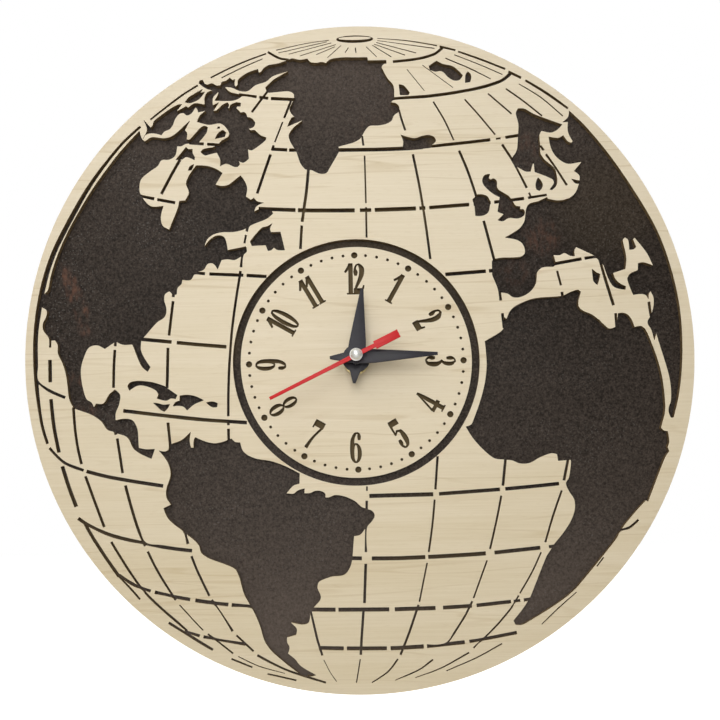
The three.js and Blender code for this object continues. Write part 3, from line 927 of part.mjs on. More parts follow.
const [dial, ...eyes] = dialPieces();
add('dial_disc', dial, MATERIALS.maple);
eyes.reduce((taken, eye) => {
  const name = eyeName(eye, taken);
  add(name, eye, MATERIALS.maple);
  return [...taken, name];
}, []);

// Board behind both

const boardHole = rod(BUSHING_RADIUS + FIT_GAP, BOARD_BACK - OVERCUT, PANEL_BACK + OVERCUT);
const board = disc(PANEL_RADIUS - BOARD_INSET, BOARD_THICKNESS, BOARD_BACK);
add('back_board', cut(board, [boardHole]), MATERIALS.wenge);

// Fixing through the middle

function nut() {
  const across = NUT_ACROSS_FLATS / Math.sqrt(3);
  const corners = Array.from({ length: 6 }, (_, i) => {
    const angle = (i * Math.PI) / 3;
    return [across * Math.cos(angle), across * Math.sin(angle)];
  });
  const body = extrude(polygon(corners), NUT_HEIGHT, NUT_BACK);
  const front = NUT_BACK + NUT_HEIGHT;
  const shoulder = front - NUT_CHAMFER;
  const chamferRing = turned([[across - NUT_CHAMFER, front], [across + OVERCUT, shoulder - OVERCUT],
    [across + OVERCUT, front + OVERCUT], [across - NUT_CHAMFER, front + OVERCUT],
    [across - NUT_CHAMFER, front]]);
  const bore = rod(BUSHING_RADIUS + SEAT_GAP, NUT_BACK - OVERCUT, front + OVERCUT);
  return cut(body, [bore, chamferRing]);
}

add('rubber_gasket', tube(BUSHING_RADIUS + FIT_GAP, GASKET_RADIUS, GASKET_BACK,
  GASKET_BACK + GASKET_THICKNESS, ROUND_SIDES), MATERIALS.rubber);
add('washer', tube(BUSHING_RADIUS + FIT_GAP, WASHER_RADIUS, WASHER_BACK,
  WASHER_BACK + WASHER_THICKNESS, ROUND_SIDES), MATERIALS.brass);
add('hex_nut', nut(), MATERIALS.brass);
add('threaded_bushing', tube(BUSHING_BORE, BUSHING_RADIUS, BUSHING_BACK + SEAT_GAP, BUSHING_FRONT),
  MATERIALS.brass);

// Shafts and hands

// A leaf that is widest just beyond the hub and tapers straight to both ends.
function blade({ tip, tail, width }) {
  const end = HAND_POINT / 2;
  const [shoulder, belly, hip] = ['shoulder', 'belly', 'tail'].map((key) => (LEAF_HALVES[key] * width) / 2);
  const shape = new THREE.Shape();
  shape.moveTo(-end, tip);
  shape.lineTo(end, tip);
  shape.lineTo(shoulder, tip * LEAF_SHOULDER);
  shape.quadraticCurveTo(belly, 0, hip, -tail * LEAF_SHOULDER);
  shape.lineTo(end, -tail);
  shape.lineTo(-end, -tail);
  shape.lineTo(-hip, -tail * LEAF_SHOULDER);
  shape.quadraticCurveTo(-belly, 0, -shoulder, tip * LEAF_SHOULDER);
  return shape;
}

// A thin pointer with a broad counterweight at its tail.
function needle({ tip, tail, weight, width, neck }) {
  const half = [[HAND_POINT / 2, tip], [neck / 2, 0], [neck / 2, weight - tail],
    [width / 2, weight - tail], [width / 2, -tail]];
  return polygon([...half, ...half.map(([x, y]) => [-x, y]).reverse()]);
}

// A hand with its round hub and the collet that grips its shaft.
function handOnCollet(outline, { hub, angle }, shaftRadius, level) {
  const grip = shaftRadius + SEAT_GAP;
  const front = level + HAND_THICKNESS;
  const plate = extrude(outline, HAND_THICKNESS, level);
  const boss = turned([[0, level - COLLET_DEPTH], [grip + COLLET_WALL, level - COLLET_DEPTH],
    [grip + COLLET_WALL, level], [hub, level], [hub, front], [0, front]], ROUND_SIDES);
  const bore = rod(grip, level - COLLET_DEPTH - OVERCUT, front + OVERCUT);
  return cut(fuse([plate, boss]), [bore]).rotateZ(clockAngle(angle));
}

function cap() {
  const grip = ARBOR_RADIUS + SEAT_GAP;
  const top = CAP_BACK + CAP_HEIGHT;
  const bore = CAP_BACK + CAP_HEIGHT / 2;
  const rim = CAP_BACK + CAP_HEIGHT * CAP_RIM;
  const dome = Array.from({ length: DOME_STEPS }, (_, i) => {
    const angle = ((i + 1) * Math.PI) / (2 * (DOME_STEPS + 1));
    return [CAP_RADIUS * Math.cos(angle), rim + (top - rim) * Math.sin(angle)];
  });
  return turned([[0, bore], [grip, bore], [grip, CAP_BACK], [CAP_RADIUS, CAP_BACK], [CAP_RADIUS, rim],
    ...dome, [0, top]]);
}

add('hour_tube', tube(HOUR_BORE, HOUR_TUBE, HOUR_TUBE_BACK, HOUR_LEVEL + HAND_THICKNESS + SHAFT_PROUD),
  MATERIALS.whitePlastic);
add('hour_hand', handOnCollet(blade(HOUR_HAND), HOUR_HAND, HOUR_TUBE, HOUR_LEVEL),
  MATERIALS.handBlack);
add('minute_tube', tube(MINUTE_BORE, MINUTE_TUBE, MINUTE_TUBE_BACK,
  MINUTE_LEVEL + HAND_THICKNESS + SHAFT_PROUD), MATERIALS.brass);
add('minute_hand', handOnCollet(blade(MINUTE_HAND), MINUTE_HAND, MINUTE_TUBE, MINUTE_LEVEL),
  MATERIALS.handBlack);
add('second_arbor', rod(ARBOR_RADIUS, ARBOR_BACK, CAP_BACK + CAP_HEIGHT / 2 - SEAT_GAP), MATERIALS.steel);
add('second_hand', handOnCollet(needle(SECOND_HAND), SECOND_HAND, ARBOR_RADIUS, SECOND_LEVEL),
  MATERIALS.handRed);
add('second_cap', cap(), MATERIALS.chrome);

// Movement behind the board

// Turns an outline drawn in Y and Z, and extruded forward, so that it runs along X.
function alongX(geometry) {
  const axes = [[0, 1, 0], [0, 0, 1], [1, 0, 0]].map((axis) => new THREE.Vector3(...axis));
  return geometry.applyMatrix4(new THREE.Matrix4().makeBasis(...axes));
}

function batteryBay() {
  const trough = new THREE.Shape();
  trough.moveTo(-BAY_RADIUS, -BATTERY_Z - OVERCUT);
  trough.lineTo(BAY_RADIUS, -BATTERY_Z - OVERCUT);
  trough.absarc(0, 0, BAY_RADIUS, 0, Math.PI);
  const bay = alongX(extrude(trough, 2 * BAY_HALF_LENGTH, -BAY_HALF_LENGTH, ROUND_SIDES / 4));
  return bay.translate(0, BATTERY_Y, BATTERY_Z);
}

function shaftBores() {
  return turned([[0, ARBOR_BACK - SEAT_GAP], [MINUTE_BORE, ARBOR_BACK - SEAT_GAP],
    [MINUTE_BORE, MINUTE_TUBE_BACK - SEAT_GAP], [HOUR_BORE, MINUTE_TUBE_BACK - SEAT_GAP],
    [HOUR_BORE, HOUR_TUBE_BACK - SEAT_GAP], [BUSHING_BORE, HOUR_TUBE_BACK - SEAT_GAP],
    [BUSHING_BORE, BUSHING_BACK], [BUSHING_RADIUS + SEAT_GAP, BUSHING_BACK],
    [BUSHING_RADIUS + SEAT_GAP, CASE_DEPTH + OVERCUT], [0, CASE_DEPTH + OVERCUT]]);
}

function knobWell() {
  const [x, y] = KNOB_CENTRE;
  const wellFloor = KNOB_SUNK + KNOB_HEIGHT + SEAT_GAP;
  const stemEnd = KNOB_SUNK + KNOB_HEIGHT + KNOB_STEM.length + SEAT_GAP;
  const well = KNOB_RADIUS + FIT_GAP;
  const stem = KNOB_STEM.radius + RUN_GAP;
  return turned([[0, -OVERCUT], [well, -OVERCUT], [well, wellFloor], [stem, wellFloor],
    [stem, stemEnd], [0, stemEnd]], ROUND_SIDES).translate(x, y, 0);
}

function coverPlate(clearance, thickness) {
  return extrude(roundedRectangle(COVER_WIDTH - 2 * clearance, COVER_HEIGHT - 2 * clearance,
    COVER_CORNER - clearance, 0, COVER_Y), thickness);
}

function hanger() {
  const foot = CASE_SIZE / 2 - CASE_CHAMFER - CASE_CORNER;
  const top = CASE_SIZE / 2 + HANGER_HEIGHT;
  const tab = roundedRectangle(HANGER_WIDTH, top - foot, HANGER_CORNER, 0, (top + foot) / 2);
  return extrude(tab, HANGER_THICKNESS, CASE_CHAMFER);
}

function movementCase() {
  const block = new THREE.ExtrudeGeometry(roundedRectangle(CASE_SIZE, CASE_SIZE, CASE_CORNER), {
    depth: CASE_DEPTH - 2 * CASE_CHAMFER,
    bevelThickness: CASE_CHAMFER,
    bevelSize: CASE_CHAMFER,
    bevelOffset: -CASE_CHAMFER,
    bevelSegments: 1,
    curveSegments: ROUND_SIDES / 8,
  }).translate(0, 0, CASE_CHAMFER);
  const { width, height, corner } = NAIL_HOLE;
  const nailHole = extrude(roundedRectangle(width, height, corner, 0, CASE_SIZE / 2 + HANGER_HEIGHT / 2),
    HANGER_THICKNESS + 2 * OVERCUT, CASE_CHAMFER - OVERCUT);
  const recess = coverPlate(0, COVER_THICKNESS + SEAT_GAP + OVERCUT).translate(0, 0, -OVERCUT);
  return cut(fuse([block, hanger()]), [batteryBay(), shaftBores(), knobWell(), recess, nailHole]);
}

function knob() {
  const [x, y] = KNOB_CENTRE;
  const rim = Array.from({ length: 2 * KNOB_TEETH }, (_, i) => {
    const angle = (i * Math.PI) / KNOB_TEETH;
    const radius = KNOB_RADIUS - (i % 2) * KNOB_TOOTH;
    return [radius * Math.cos(angle), radius * Math.sin(angle)];
  });
  const wheel = extrude(polygon(rim), KNOB_HEIGHT, KNOB_SUNK);
  const inside = KNOB_SUNK + KNOB_HEIGHT;
  const stem = rod(KNOB_STEM.radius, inside - KNOB_HEIGHT / 2, inside + KNOB_STEM.length);
  return fuse([wheel, stem]).translate(x, y, 0);
}

function batteryBody() {
  const half = BATTERY_LENGTH / 2;
  const profile = [[0, -half], [BATTERY_RADIUS - BATTERY_EDGE, -half], [BATTERY_RADIUS, BATTERY_EDGE - half],
    [BATTERY_RADIUS, half - BATTERY_EDGE], [BATTERY_RADIUS - BATTERY_EDGE, half], [TERMINAL_RADIUS, half],
    [TERMINAL_RADIUS, half + TERMINAL_HEIGHT], [0, half + TERMINAL_HEIGHT]];
  return turned(profile, ROUND_SIDES).rotateY(Math.PI / 2).translate(0, BATTERY_Y, BATTERY_Z);
}

// Plate that the battery's raised terminal meets.
function positiveContact() {
  const plate = roundedRectangle(CONTACT_WIDTH, CONTACT_WIDTH, CONTACT_THICKNESS);
  const start = BATTERY_LENGTH / 2 + TERMINAL_HEIGHT + SEAT_GAP;
  return alongX(extrude(plate, CONTACT_THICKNESS, start)).translate(0, BATTERY_Y, BATTERY_Z);
}

// Arched leaf that presses on the battery's flat end.
function negativeContact() {
  const outer = CONTACT_THICKNESS / 2 + SEAT_GAP - BAY_HALF_LENGTH;
  const inner = -BATTERY_LENGTH / 2 - CONTACT_THICKNESS / 2 - SEAT_GAP;
  const reach = CONTACT_WIDTH / 2;
  const leaf = [[outer, -reach, CONTACT_THICKNESS], [inner, 0, CONTACT_THICKNESS],
    [outer, reach, CONTACT_THICKNESS]];
  const strip = extrude(penStroke(leaf, CONTACT_STEPS), CONTACT_WIDTH, -CONTACT_WIDTH / 2);
  return strip.translate(0, BATTERY_Y, BATTERY_Z);
}

add('movement_case', movementCase(), MATERIALS.blackPlastic);
const [knobX, knobY] = KNOB_CENTRE;
const knobOpening = rod(KNOB_RADIUS + FIT_GAP, -OVERCUT, COVER_THICKNESS + OVERCUT, ROUND_SIDES)
  .translate(knobX, knobY, 0);
add('movement_cover', cut(coverPlate(FIT_GAP, COVER_THICKNESS), [knobOpening]), MATERIALS.blackPlastic);
add('setting_knob', knob(), MATERIALS.whitePlastic);
add('battery', batteryBody(), MATERIALS.batteryCase);
add('positive_contact', positiveContact(), MATERIALS.steel);
add('negative_contact', negativeContact(), MATERIALS.steel);

export default clock;
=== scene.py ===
"""Looks of a round wall clock: a pale fretwork globe on a dark board, a dial, three hands and a movement.

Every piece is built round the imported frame, in metres. The hands turn about the Y axis, the front of
the clock looks along -Y and +Z is up.
"""

import logging
import math
from collections.abc import Sequence
from dataclasses import dataclass
from enum import Enum

import bmesh
import bpy
from mathutils import Matrix, Vector
from mathutils.geometry import delaunay_2d_cdt
from mathutils.kdtree import KDTree


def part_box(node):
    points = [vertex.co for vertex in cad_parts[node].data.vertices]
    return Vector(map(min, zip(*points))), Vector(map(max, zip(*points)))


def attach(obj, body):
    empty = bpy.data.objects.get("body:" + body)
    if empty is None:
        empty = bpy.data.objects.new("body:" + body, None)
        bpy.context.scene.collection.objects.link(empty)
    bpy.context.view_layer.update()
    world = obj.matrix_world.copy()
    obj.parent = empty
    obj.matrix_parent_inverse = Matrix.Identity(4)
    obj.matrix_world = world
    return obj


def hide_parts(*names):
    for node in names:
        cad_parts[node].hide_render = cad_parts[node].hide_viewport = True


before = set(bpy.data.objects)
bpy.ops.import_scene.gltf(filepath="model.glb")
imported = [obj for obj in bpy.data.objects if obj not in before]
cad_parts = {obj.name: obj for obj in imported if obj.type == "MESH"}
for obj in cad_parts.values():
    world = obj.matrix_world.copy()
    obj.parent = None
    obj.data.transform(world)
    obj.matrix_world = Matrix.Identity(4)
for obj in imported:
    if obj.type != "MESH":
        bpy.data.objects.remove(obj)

Colour = tuple[float, float, float, float]
Size = tuple[float, float, float]
Point = tuple[float, float]
Profile = Sequence[Point]
Loop = list[Vector]
Key = int | str
Places = tuple[tuple[float, float, float, float], ...]  # X, Z, reach and share of each

LOG = logging.getLogger("wall_clock")
MM = 0.001
WELD = 0.002 * MM  # corners nearer than this become one
CREASE = 35.0  # edges sharper than this many degrees aren't shaded smooth
UPRIGHT: Size = (math.pi / 2, 0.0, 0.0)  # turns what lies flat to face along Y
BLACK: Colour = (0.0, 0.0, 0.0, 1.0)
WHITE: Colour = (1.0, 1.0, 1.0, 1.0)


class Body(Enum):
    """The moving bodies of the frame."""

    CLOCK = "clock"
    HOUR = "hour"
    MINUTE = "minute"
    SECOND = "second"
    KNOB = "knob"


class Slot(Enum):
    """The record's material slots."""

    MAPLE = "maple"
    WENGE = "wenge"
    HAND_BLACK = "hand_black"
    HAND_RED = "hand_red"
    CHROME = "chrome"
    BRASS = "brass"
    STEEL = "steel"
    BLACK_PLASTIC = "black_plastic"
    WHITE_PLASTIC = "white_plastic"
    RUBBER = "rubber"
    BATTERY = "battery_case"


def tint(red: float, green: float, blue: float) -> Colour:
    """A colour as a screen shows it, from 0 to 255, turned into the light that a shader takes.

    Args:
        red: Red on the screen.
        green: Green on the screen.
        blue: Blue on the screen.

    Returns:
        The linear colour with full alpha.
    """
    shares = (red / 255, green / 255, blue / 255)
    light = [s / 12.92 if s <= 0.04045 else ((s + 0.055) / 1.055) ** 2.4 for s in shares]
    return (light[0], light[1], light[2], 1.0)


def find_socket(sockets: Sequence[bpy.types.NodeSocket], key: Key) -> bpy.types.NodeSocket:
    """Looks up a socket of a node.

    Args:
        sockets: The node's inputs or outputs.
        key: The socket's index, its identifier or its name.

    Returns:
        The socket.
    """
    if isinstance(key, int):
        return sockets[key]
    return next(s for s in sockets if key in (s.identifier, s.name))


class Value:
    """An output in a tree of nodes, whose operators add Math nodes."""

    def __init__(self, nodes: "Nodes", socket: bpy.types.NodeSocket) -> None:
        """Keeps the socket and the nodes that it belongs to."""
        self.nodes = nodes
        self.socket = socket

    def _math(self, operation: str, first: "Number", second: "Number" = 0.0) -> "Value":
        """One Math node of two numbers."""
        return self.nodes.node("ShaderNodeMath", {0: first, 1: second}, operation=operation)

    def __add__(self, other: "Number") -> "Value":
        """The sum."""
        return self._math("ADD", self, other)

    def __sub__(self, other: "Number") -> "Value":
        """The difference."""
        return self._math("SUBTRACT", self, other)

    def __rsub__(self, other: "Number") -> "Value":
        """The difference from a number."""
        return self._math("SUBTRACT", other, self)

    def __mul__(self, other: "Number") -> "Value":
        """The product."""
        return self._math("MULTIPLY", self, other)

    def __mod__(self, other: "Number") -> "Value":
        """What is left over by a division."""
        return self._math("MODULO", self, other)

    __radd__ = __add__
    __rmul__ = __mul__

    def __abs__(self) -> "Value":
        """The size without its sign."""
        return self._math("ABSOLUTE", self)

    def rise(self, lower_shade_and_tone: float, high: float) -> "Value":
        """A smooth step.

        Args:
            lower_shade_and_tone: Where the step starts from 0.
            high: Where it reaches 1.

        Returns:
            The step, from 0 to 1.
        """
        limits = {"Value": self, "From Min": lower_shade_and_tone, "From Max": high}
        return self.nodes.node("ShaderNodeMapRange", limits, interpolation_type="SMOOTHSTEP")


Number = float | Value


class Nodes:
    """A tree of nodes, to which they are added one at a time."""

    def __init__(self, tree: bpy.types.NodeTree) -> None:
        """Keeps the tree."""
        self.tree = tree

    def feed(self, socket: bpy.types.NodeSocket, value: object) -> None:
        """Links a value to a socket, or sets a plain one on it.

        Args:
            socket: The socket.
            value: A value of the tree, or a number, colour or material.
        """
        if isinstance(value, Value):
            self.tree.links.new(value.socket, socket)
        else:
            socket.default_value = value

    def node(
        self, kind: str, sockets: dict[Key, object] | None = None, output: Key = 0, **settings: object
    ) -> Value:
        """Adds one node.

        Args:
            kind: The node's type.
            sockets: What its sockets are fed, by a socket's index, identifier or name.
            output: The index, identifier or name of the socket to hand on.
            settings: The node's own settings, set before its sockets.

        Returns:
            The chosen output.
        """
        made = self.tree.nodes.new(kind)
        for name, value in settings.items():
            setattr(made, name, value)
        for key, value in (sockets or {}).items():
            self.feed(find_socket(made.inputs, key), value)
        return Value(self, find_socket(made.outputs, output))

    def mix(self, factor: Number, first: object, second: object) -> Value:
        """A colour between two, by a factor from 0 to 1."""
        parts = {"Factor_Float": factor, "A_Color": first, "B_Color": second}
        return self.node("ShaderNodeMix", parts, "Result_Color", data_type="RGBA")


class Graph(Nodes):
    """The nodes of one material."""

    def __init__(self, name: str) -> None:
        """Starts a material with its shader and output.

        Args:
            name: The material's name.
        """
        self.material = bpy.data.materials.new(name)
        self.material.use_nodes = True
        super().__init__(self.material.node_tree)
        self.shader = next(n for n in self.tree.nodes if n.type == "BSDF_PRINCIPLED")

    def position(self) -> Value:
        """The place of a point in its piece."""
        return self.node("ShaderNodeTexCoord", output="Object")

    def axis(self, vector: Value, name: str) -> Value:
        """One of a vector's numbers, by its axis."""
        return self.node("ShaderNodeSeparateXYZ", {0: vector}, name)

    def along(self, name: str) -> Value:
        """How far a point lies along an axis of its piece, in metres."""
        return self.axis(self.position(), name)

    def facing(self, name: str) -> Value:
        """How far the surface itself faces along an axis, from -1 to 1."""
        return self.axis(self.node("ShaderNodeNewGeometry", output="True Normal"), name)

    def noise(self, size: Size | float, detail: float = 2.0, shift: float = 0.0) -> Value:
        """Soft random patches.

        Args:
            size: Length of a patch in millimetres, or its lengths along X, Y and Z.
            detail: How many finer layers it has.
            shift: Moves the pattern, so that two of one size differ.

        Returns:
            The noise, mostly from 0.3 to 0.7.
        """
        sizes = size if isinstance(size, tuple) else (size, size, size)
        scale = tuple(1 / (s * MM) for s in sizes)
        laid = {"Vector": self.position(), "Location": (shift, shift, shift), "Scale": scale}
        place = self.node("ShaderNodeMapping", laid)
        return self.node("ShaderNodeTexNoise", {"Vector": place, "Scale": 1.0, "Detail": detail})

    def bump(self, height: Value, depth: float, strength: float) -> None:
        """Gives the shader a relief.

        Args:
            height: The relief, from 0 to 1.
            depth: How deep it is, in millimetres.
            strength: How much of it shows.
        """
        relief = {"Strength": strength, "Distance": depth * MM, "Height": height}
        self.set(Normal=self.node("ShaderNodeBump", relief, "Normal"))

    def set(self, **values: object) -> None:
        """Sets or links the shader's sockets, with underscores for spaces."""
        for name, value in values.items():
            self.feed(self.shader.inputs[name.replace("_", " ")], value)


class Finish:
    """A finish makes one material, once."""

    _made: dict["Finish", bpy.types.Material] = {}

    def material(self) -> bpy.types.Material:
        """The material of this finish, made at its first use.

        Returns:
            The material.
        """
        if self not in Finish._made:
            Finish._made[self] = self.build()
        return Finish._made[self]

    def build(self) -> bpy.types.Material:
        """Makes the material."""
        raise NotImplementedError


@dataclass(frozen=True)
class MapleVeneer(Finish):
    """Pale veneer with a level grain, and scorched walls where the beam went through."""

    name: str = "maple_veneer"
    pale: Colour = tint(232, 219, 194)
    deep: Colour = tint(212, 195, 160)
    line: Colour = tint(196, 174, 134)
    scorch: Colour = tint(132, 108, 73)
    char: Colour = tint(95, 77, 51)
    band: Size = (150, 90, 11)  # lengths of the patterns along X, Y and Z, in millimetres
    fibre: Size = (30, 30, 0.6)
    pore: Size = (4.5, 4.0, 0.5)
    figure: Size = (230, 160, 13)
    early: Size = (70, 50, 16)
    late: Size = (80, 50, 20)
    burn: Size = (1.5, 0.7, 1.5)
    half_height: float = 0.15  # the wood deepens from this high to this low, in metres: partly painted shade of the light falling off downwards, partly the veneer's own tone

    def build(self) -> bpy.types.Material:
        """Makes the veneer with its grain lines, fibres, pores and scorched walls, deepened towards the
        bottom partly as painted shade.

        Returns:
            The material.
        """
        graph = Graph(self.name)
        bands = graph.noise(self.band, 3)
        fibres = graph.noise(self.fibre, 3, 4.0)
        pores = graph.noise(self.pore, 1, 9.0).rise(0.62, 0.74)
        early = self._lines(graph, 2.0) * graph.noise(self.early, 2, 6.0).rise(0.36, 0.62)
        late = self._lines(graph, 11.0) * graph.noise(self.late, 2, 8.0).rise(0.4, 0.66)
        # partly painted shade: the veneer deepens towards the bottom for the light falling off downwards, and
        # partly for its own tone
        lower_shade_and_tone = 1.0 - graph.along("Z").rise(-self.half_height, self.half_height)
        depth = (bands - 0.5) * 0.7 + (fibres - 0.5) * 0.7 + lower_shade_and_tone * 0.5 + 0.17
        face = graph.mix(depth, self.pale, self.deep)
        face = graph.mix(early * 0.4 + late * 0.34 + pores * 0.15, face, self.line)
        burnt = graph.mix(graph.noise(self.burn, 2).rise(0.35, 0.65), self.char, self.scorch)
        wall = 1.0 - abs(graph.facing("Y")).rise(0.35, 0.75)
        graph.set(
            Base_Color=graph.mix(wall, face, burnt),
            Roughness=fibres * 0.2 + 0.44 + wall * 0.25,
            Specular_IOR_Level=0.35,
        )
        graph.bump(fibres + pores * -0.5, 0.05, 0.35)
        return graph.material

    def _lines(self, graph: Graph, shift: float) -> Value:
        """Thin growth lines, which wander across the sheet at one level of a long soft noise."""
        figure = graph.noise(self.figure, 2, shift)
        return 1.0 - abs(figure - 0.5).rise(0.002, 0.014)


@dataclass(frozen=True)
class DarkBoard(Finish):
    """Dark stained fibreboard with a fine mottle, worn reddish in places, and raw behind."""

    name: str = "dark_board"
    dark: Colour = tint(33, 27, 22)
    light: Colour = tint(96, 85, 77)
    fleck: Colour = tint(114, 110, 106)
    worn: Colour = tint(102, 72, 58)
    # painted light: a paler board colour put behind the fine cuts and the dial ring, so that their floors
    # don't show the shade of their walls
    painted_slot_light: Colour = tint(94, 79, 53)
    raw: Colour = tint(172, 140, 104)
    darkest: float = 25.0  # height at which the board is darkest, in millimetres
    fades: float = 95.0  # how far above and below it the board is much paler, in millimetres
    left_from: float = -0.04  # where the dustier left side begins, in metres
    left_full: float = -0.12  # and where it is dusty in full
    painted_light_dial_radius: float = 51.5  # radius of the painted light behind the dial's cuts, in millimetres
    painted_light_places: Places = (
        (-20, 68, 16, 0.8), (10, 76, 20, 0.9), (38, 72, 20, 0.9), (48, 108, 20, 0.9), (-14, 147, 14, 0.9),
        (14, 147, 14, 0.9), (40, 144, 12, 0.9), (-72, 12, 22, 0.9), (-96, -22, 6, 0.8), (-86, -25, 8, 0.8),
        (-75, -27, 8, 0.8), (-64, -28, 8, 0.8), (-118, -74, 38, 0.5), (38, -84, 42, 0.5), (14, -143, 32, 0.4),
        (0, 6, 66, 0.6), (114, 68, 34, 0.2),
    )  # painted light behind fine cuts, where the board is made paler against the shade of their walls: X, Z and reach in millimetres, and how far
    patches: Places = (
        (-132, 44, 5, 0.7), (-129, 39, 5, 0.8), (-127, 34, 5, 0.8), (-125, 29, 5, 0.8), (-123, 24, 5, 0.7),
        (-122, 18, 5, 0.6), (-127, -8, 8, 0.5), (-122, -20, 7, 0.5), (6, 106, 13, 0.2), (20, 120, 11, 0.25),
        (85, 56, 12, 0.5), (72, 40, 10, 0.35), (78, 96, 10, 0.4), (69, 68, 7, 0.35),
    )  # where the stain is worn, in the same way

    def build(self) -> bpy.types.Material:
        """Makes the board with its mottle, flecks, worn patches and raw back, and painted light behind its
        fine cuts and the dial ring.

        Returns:
            The material.
        """
        graph = Graph(self.name)
        mottle = graph.noise(1.5, 3)
        specks = graph.noise(0.7, 1, 3.0)
        dusty = graph.noise(24, 2, 13.0).rise(0.42, 0.62)
        flecks = graph.noise(0.9, 2, 7.0).rise(0.58, 0.7) * (dusty * 0.75 + 0.25)
        cloud = graph.noise(60, 2, 1.0)
        height = graph.along("Z") * (1 / (self.fades * MM)) - self.darkest / self.fades
        grain = (mottle - 0.5) * 1.3 + (specks - 0.5) * 1.3 + (cloud - 0.5) * 0.4
        left = 1.0 - graph.along("X").rise(self.left_full, self.left_from)
        tone = grain * 0.62 + height * height * 0.29 + left * 0.06 + 0.14
        face = graph.mix(tone, self.dark, self.light)
        face = graph.mix(flecks * (left * 0.3 + 0.35), face, self.fleck)
        streaks = graph.noise((1.2, 1.2, 2.8), 4, 5.0).rise(0.3, 0.7)
        rust = streaks * graph.noise((5, 5, 8), 2, 15.0).rise(0.4, 0.6)
        face = graph.mix(self._spread(graph, self.patches).rise(0.0, 1.0) * rust, face, self.worn)
        # painted light: the board is made paler behind the fine cuts and the dial ring, against the shade
        # that their walls cast into them
        painted_slot_fill = self._spread(graph, self.painted_light_places) + self._near(graph, 0.0, 0.0, self.painted_light_dial_radius, 0.95)
        face = graph.mix(painted_slot_fill.rise(0.0, 1.0), face, self.painted_slot_light)
        back = graph.facing("Y").rise(0.4, 0.8)
        fibre = graph.mix(mottle.rise(0.2, 1.0) * 0.6, self.raw, self.dark)
        graph.set(
            Base_Color=graph.mix(back * 0.9, face, fibre),
            Roughness=mottle * 0.25 + 0.52,
            Specular_IOR_Level=0.15,
        )
        graph.bump(mottle * 0.6 + specks * 0.4, 0.12, 0.5)
        return graph.material

    def _spread(self, graph: Graph, places: Places) -> Value:
        """How strongly the places near by are felt: worn stain, or painted light behind fine cuts.

        Args:
            graph: The graph to add to.
            places: The places.

        Returns:
            The sum of what each adds.
        """
        gone: Number = 0.0
        for x, z, reach, share in places:
            gone = self._near(graph, x, z, reach) * share + gone
        return gone

    def _near(self, graph: Graph, x: float, z: float, reach: float, core: float = 0.05) -> Value:
        """How near a place on the board's face is, from 0 at its reach to 1.

        Args:
            graph: The graph to add to.
            x: Where the place is across, in millimetres.
            z: How high it is, in millimetres.
            reach: How far it is felt, in millimetres.
            core: Share of its area in which it is felt in full.

        Returns:
            The nearness.
        """
        at = graph.position()
        off_x = graph.axis(at, "X") * (1 / (reach * MM)) - x / reach
        off_z = graph.axis(at, "Z") * (1 / (reach * MM)) - z / reach
        return 1.0 - (off_x * off_x + off_z * off_z).rise(core, 1.0)


@dataclass(frozen=True)
class SatinPaint(Finish):
    """Thin satin paint on stamped metal, with faint dust and a soft orange-peel relief."""

    name: str
    shade: Colour
    light: Colour
    roughness: float

    def build(self) -> bpy.types.Material:
        """Makes the paint.

        Returns:
            The material.
        """
        graph = Graph(self.name)
        cloud = graph.noise(9, 2)
        peel = graph.noise(0.5, 1, 2.0)
        dust = graph.noise(0.7, 1, 8.0).rise(0.7, 0.8)
        body = graph.mix(cloud.rise(0.3, 0.7) * 0.7 + dust * 0.25, self.shade, self.light)
        sheen = cloud * 0.16 + self.roughness
        graph.set(Base_Color=body, Roughness=sheen, Specular_IOR_Level=0.4, Coat_Weight=0.06)
        graph.bump(peel, 0.02, 0.3)
        return graph.material


@dataclass(frozen=True)
class TurnedMetal(Finish):
    """Bare or plated metal with fine tool marks and a slight uneven tarnish."""

    name: str
    bright: Colour
    dull: Colour
    roughness: float
    marks: float = 0.25  # width of a tool mark, in millimetres
    metal: float = 1.0

    def build(self) -> bpy.types.Material:
        """Makes the metal.

        Returns:
            The material.
        """
        graph = Graph(self.name)
        tarnish = graph.noise(5, 3)
        grooves = graph.noise((4, self.marks, 4), 2, 5.0)
        graph.set(
            Base_Color=graph.mix(tarnish.rise(0.35, 0.7), self.bright, self.dull),
            Metallic=self.metal,
            Roughness=(grooves - 0.5) * 0.2 + self.roughness,
        )
        graph.bump(grooves, 0.01, 0.3)
        return graph.material


@dataclass(frozen=True)
class MouldedPlastic(Finish):
    """Moulded plastic or rubber with a fine spark-eroded grain."""

    name: str
    body: Colour
    worn: Colour
    grain: float = 0.5  # length of a grain, in millimetres
    roughness: float = 0.5
    relief: float = 0.4

    def build(self) -> bpy.types.Material:
        """Makes the plastic.

        Returns:
            The material.
        """
        graph = Graph(self.name)
        grain = graph.noise(self.grain, 2)
        cloud = graph.noise(16, 3, 3.0)
        graph.set(
            Base_Color=graph.mix(cloud.rise(0.35, 0.75), self.body, self.worn),
            Roughness=grain * 0.2 + cloud * 0.1 + self.roughness - 0.15,
        )
        graph.bump(grain, 0.04, self.relief)
        return graph.material


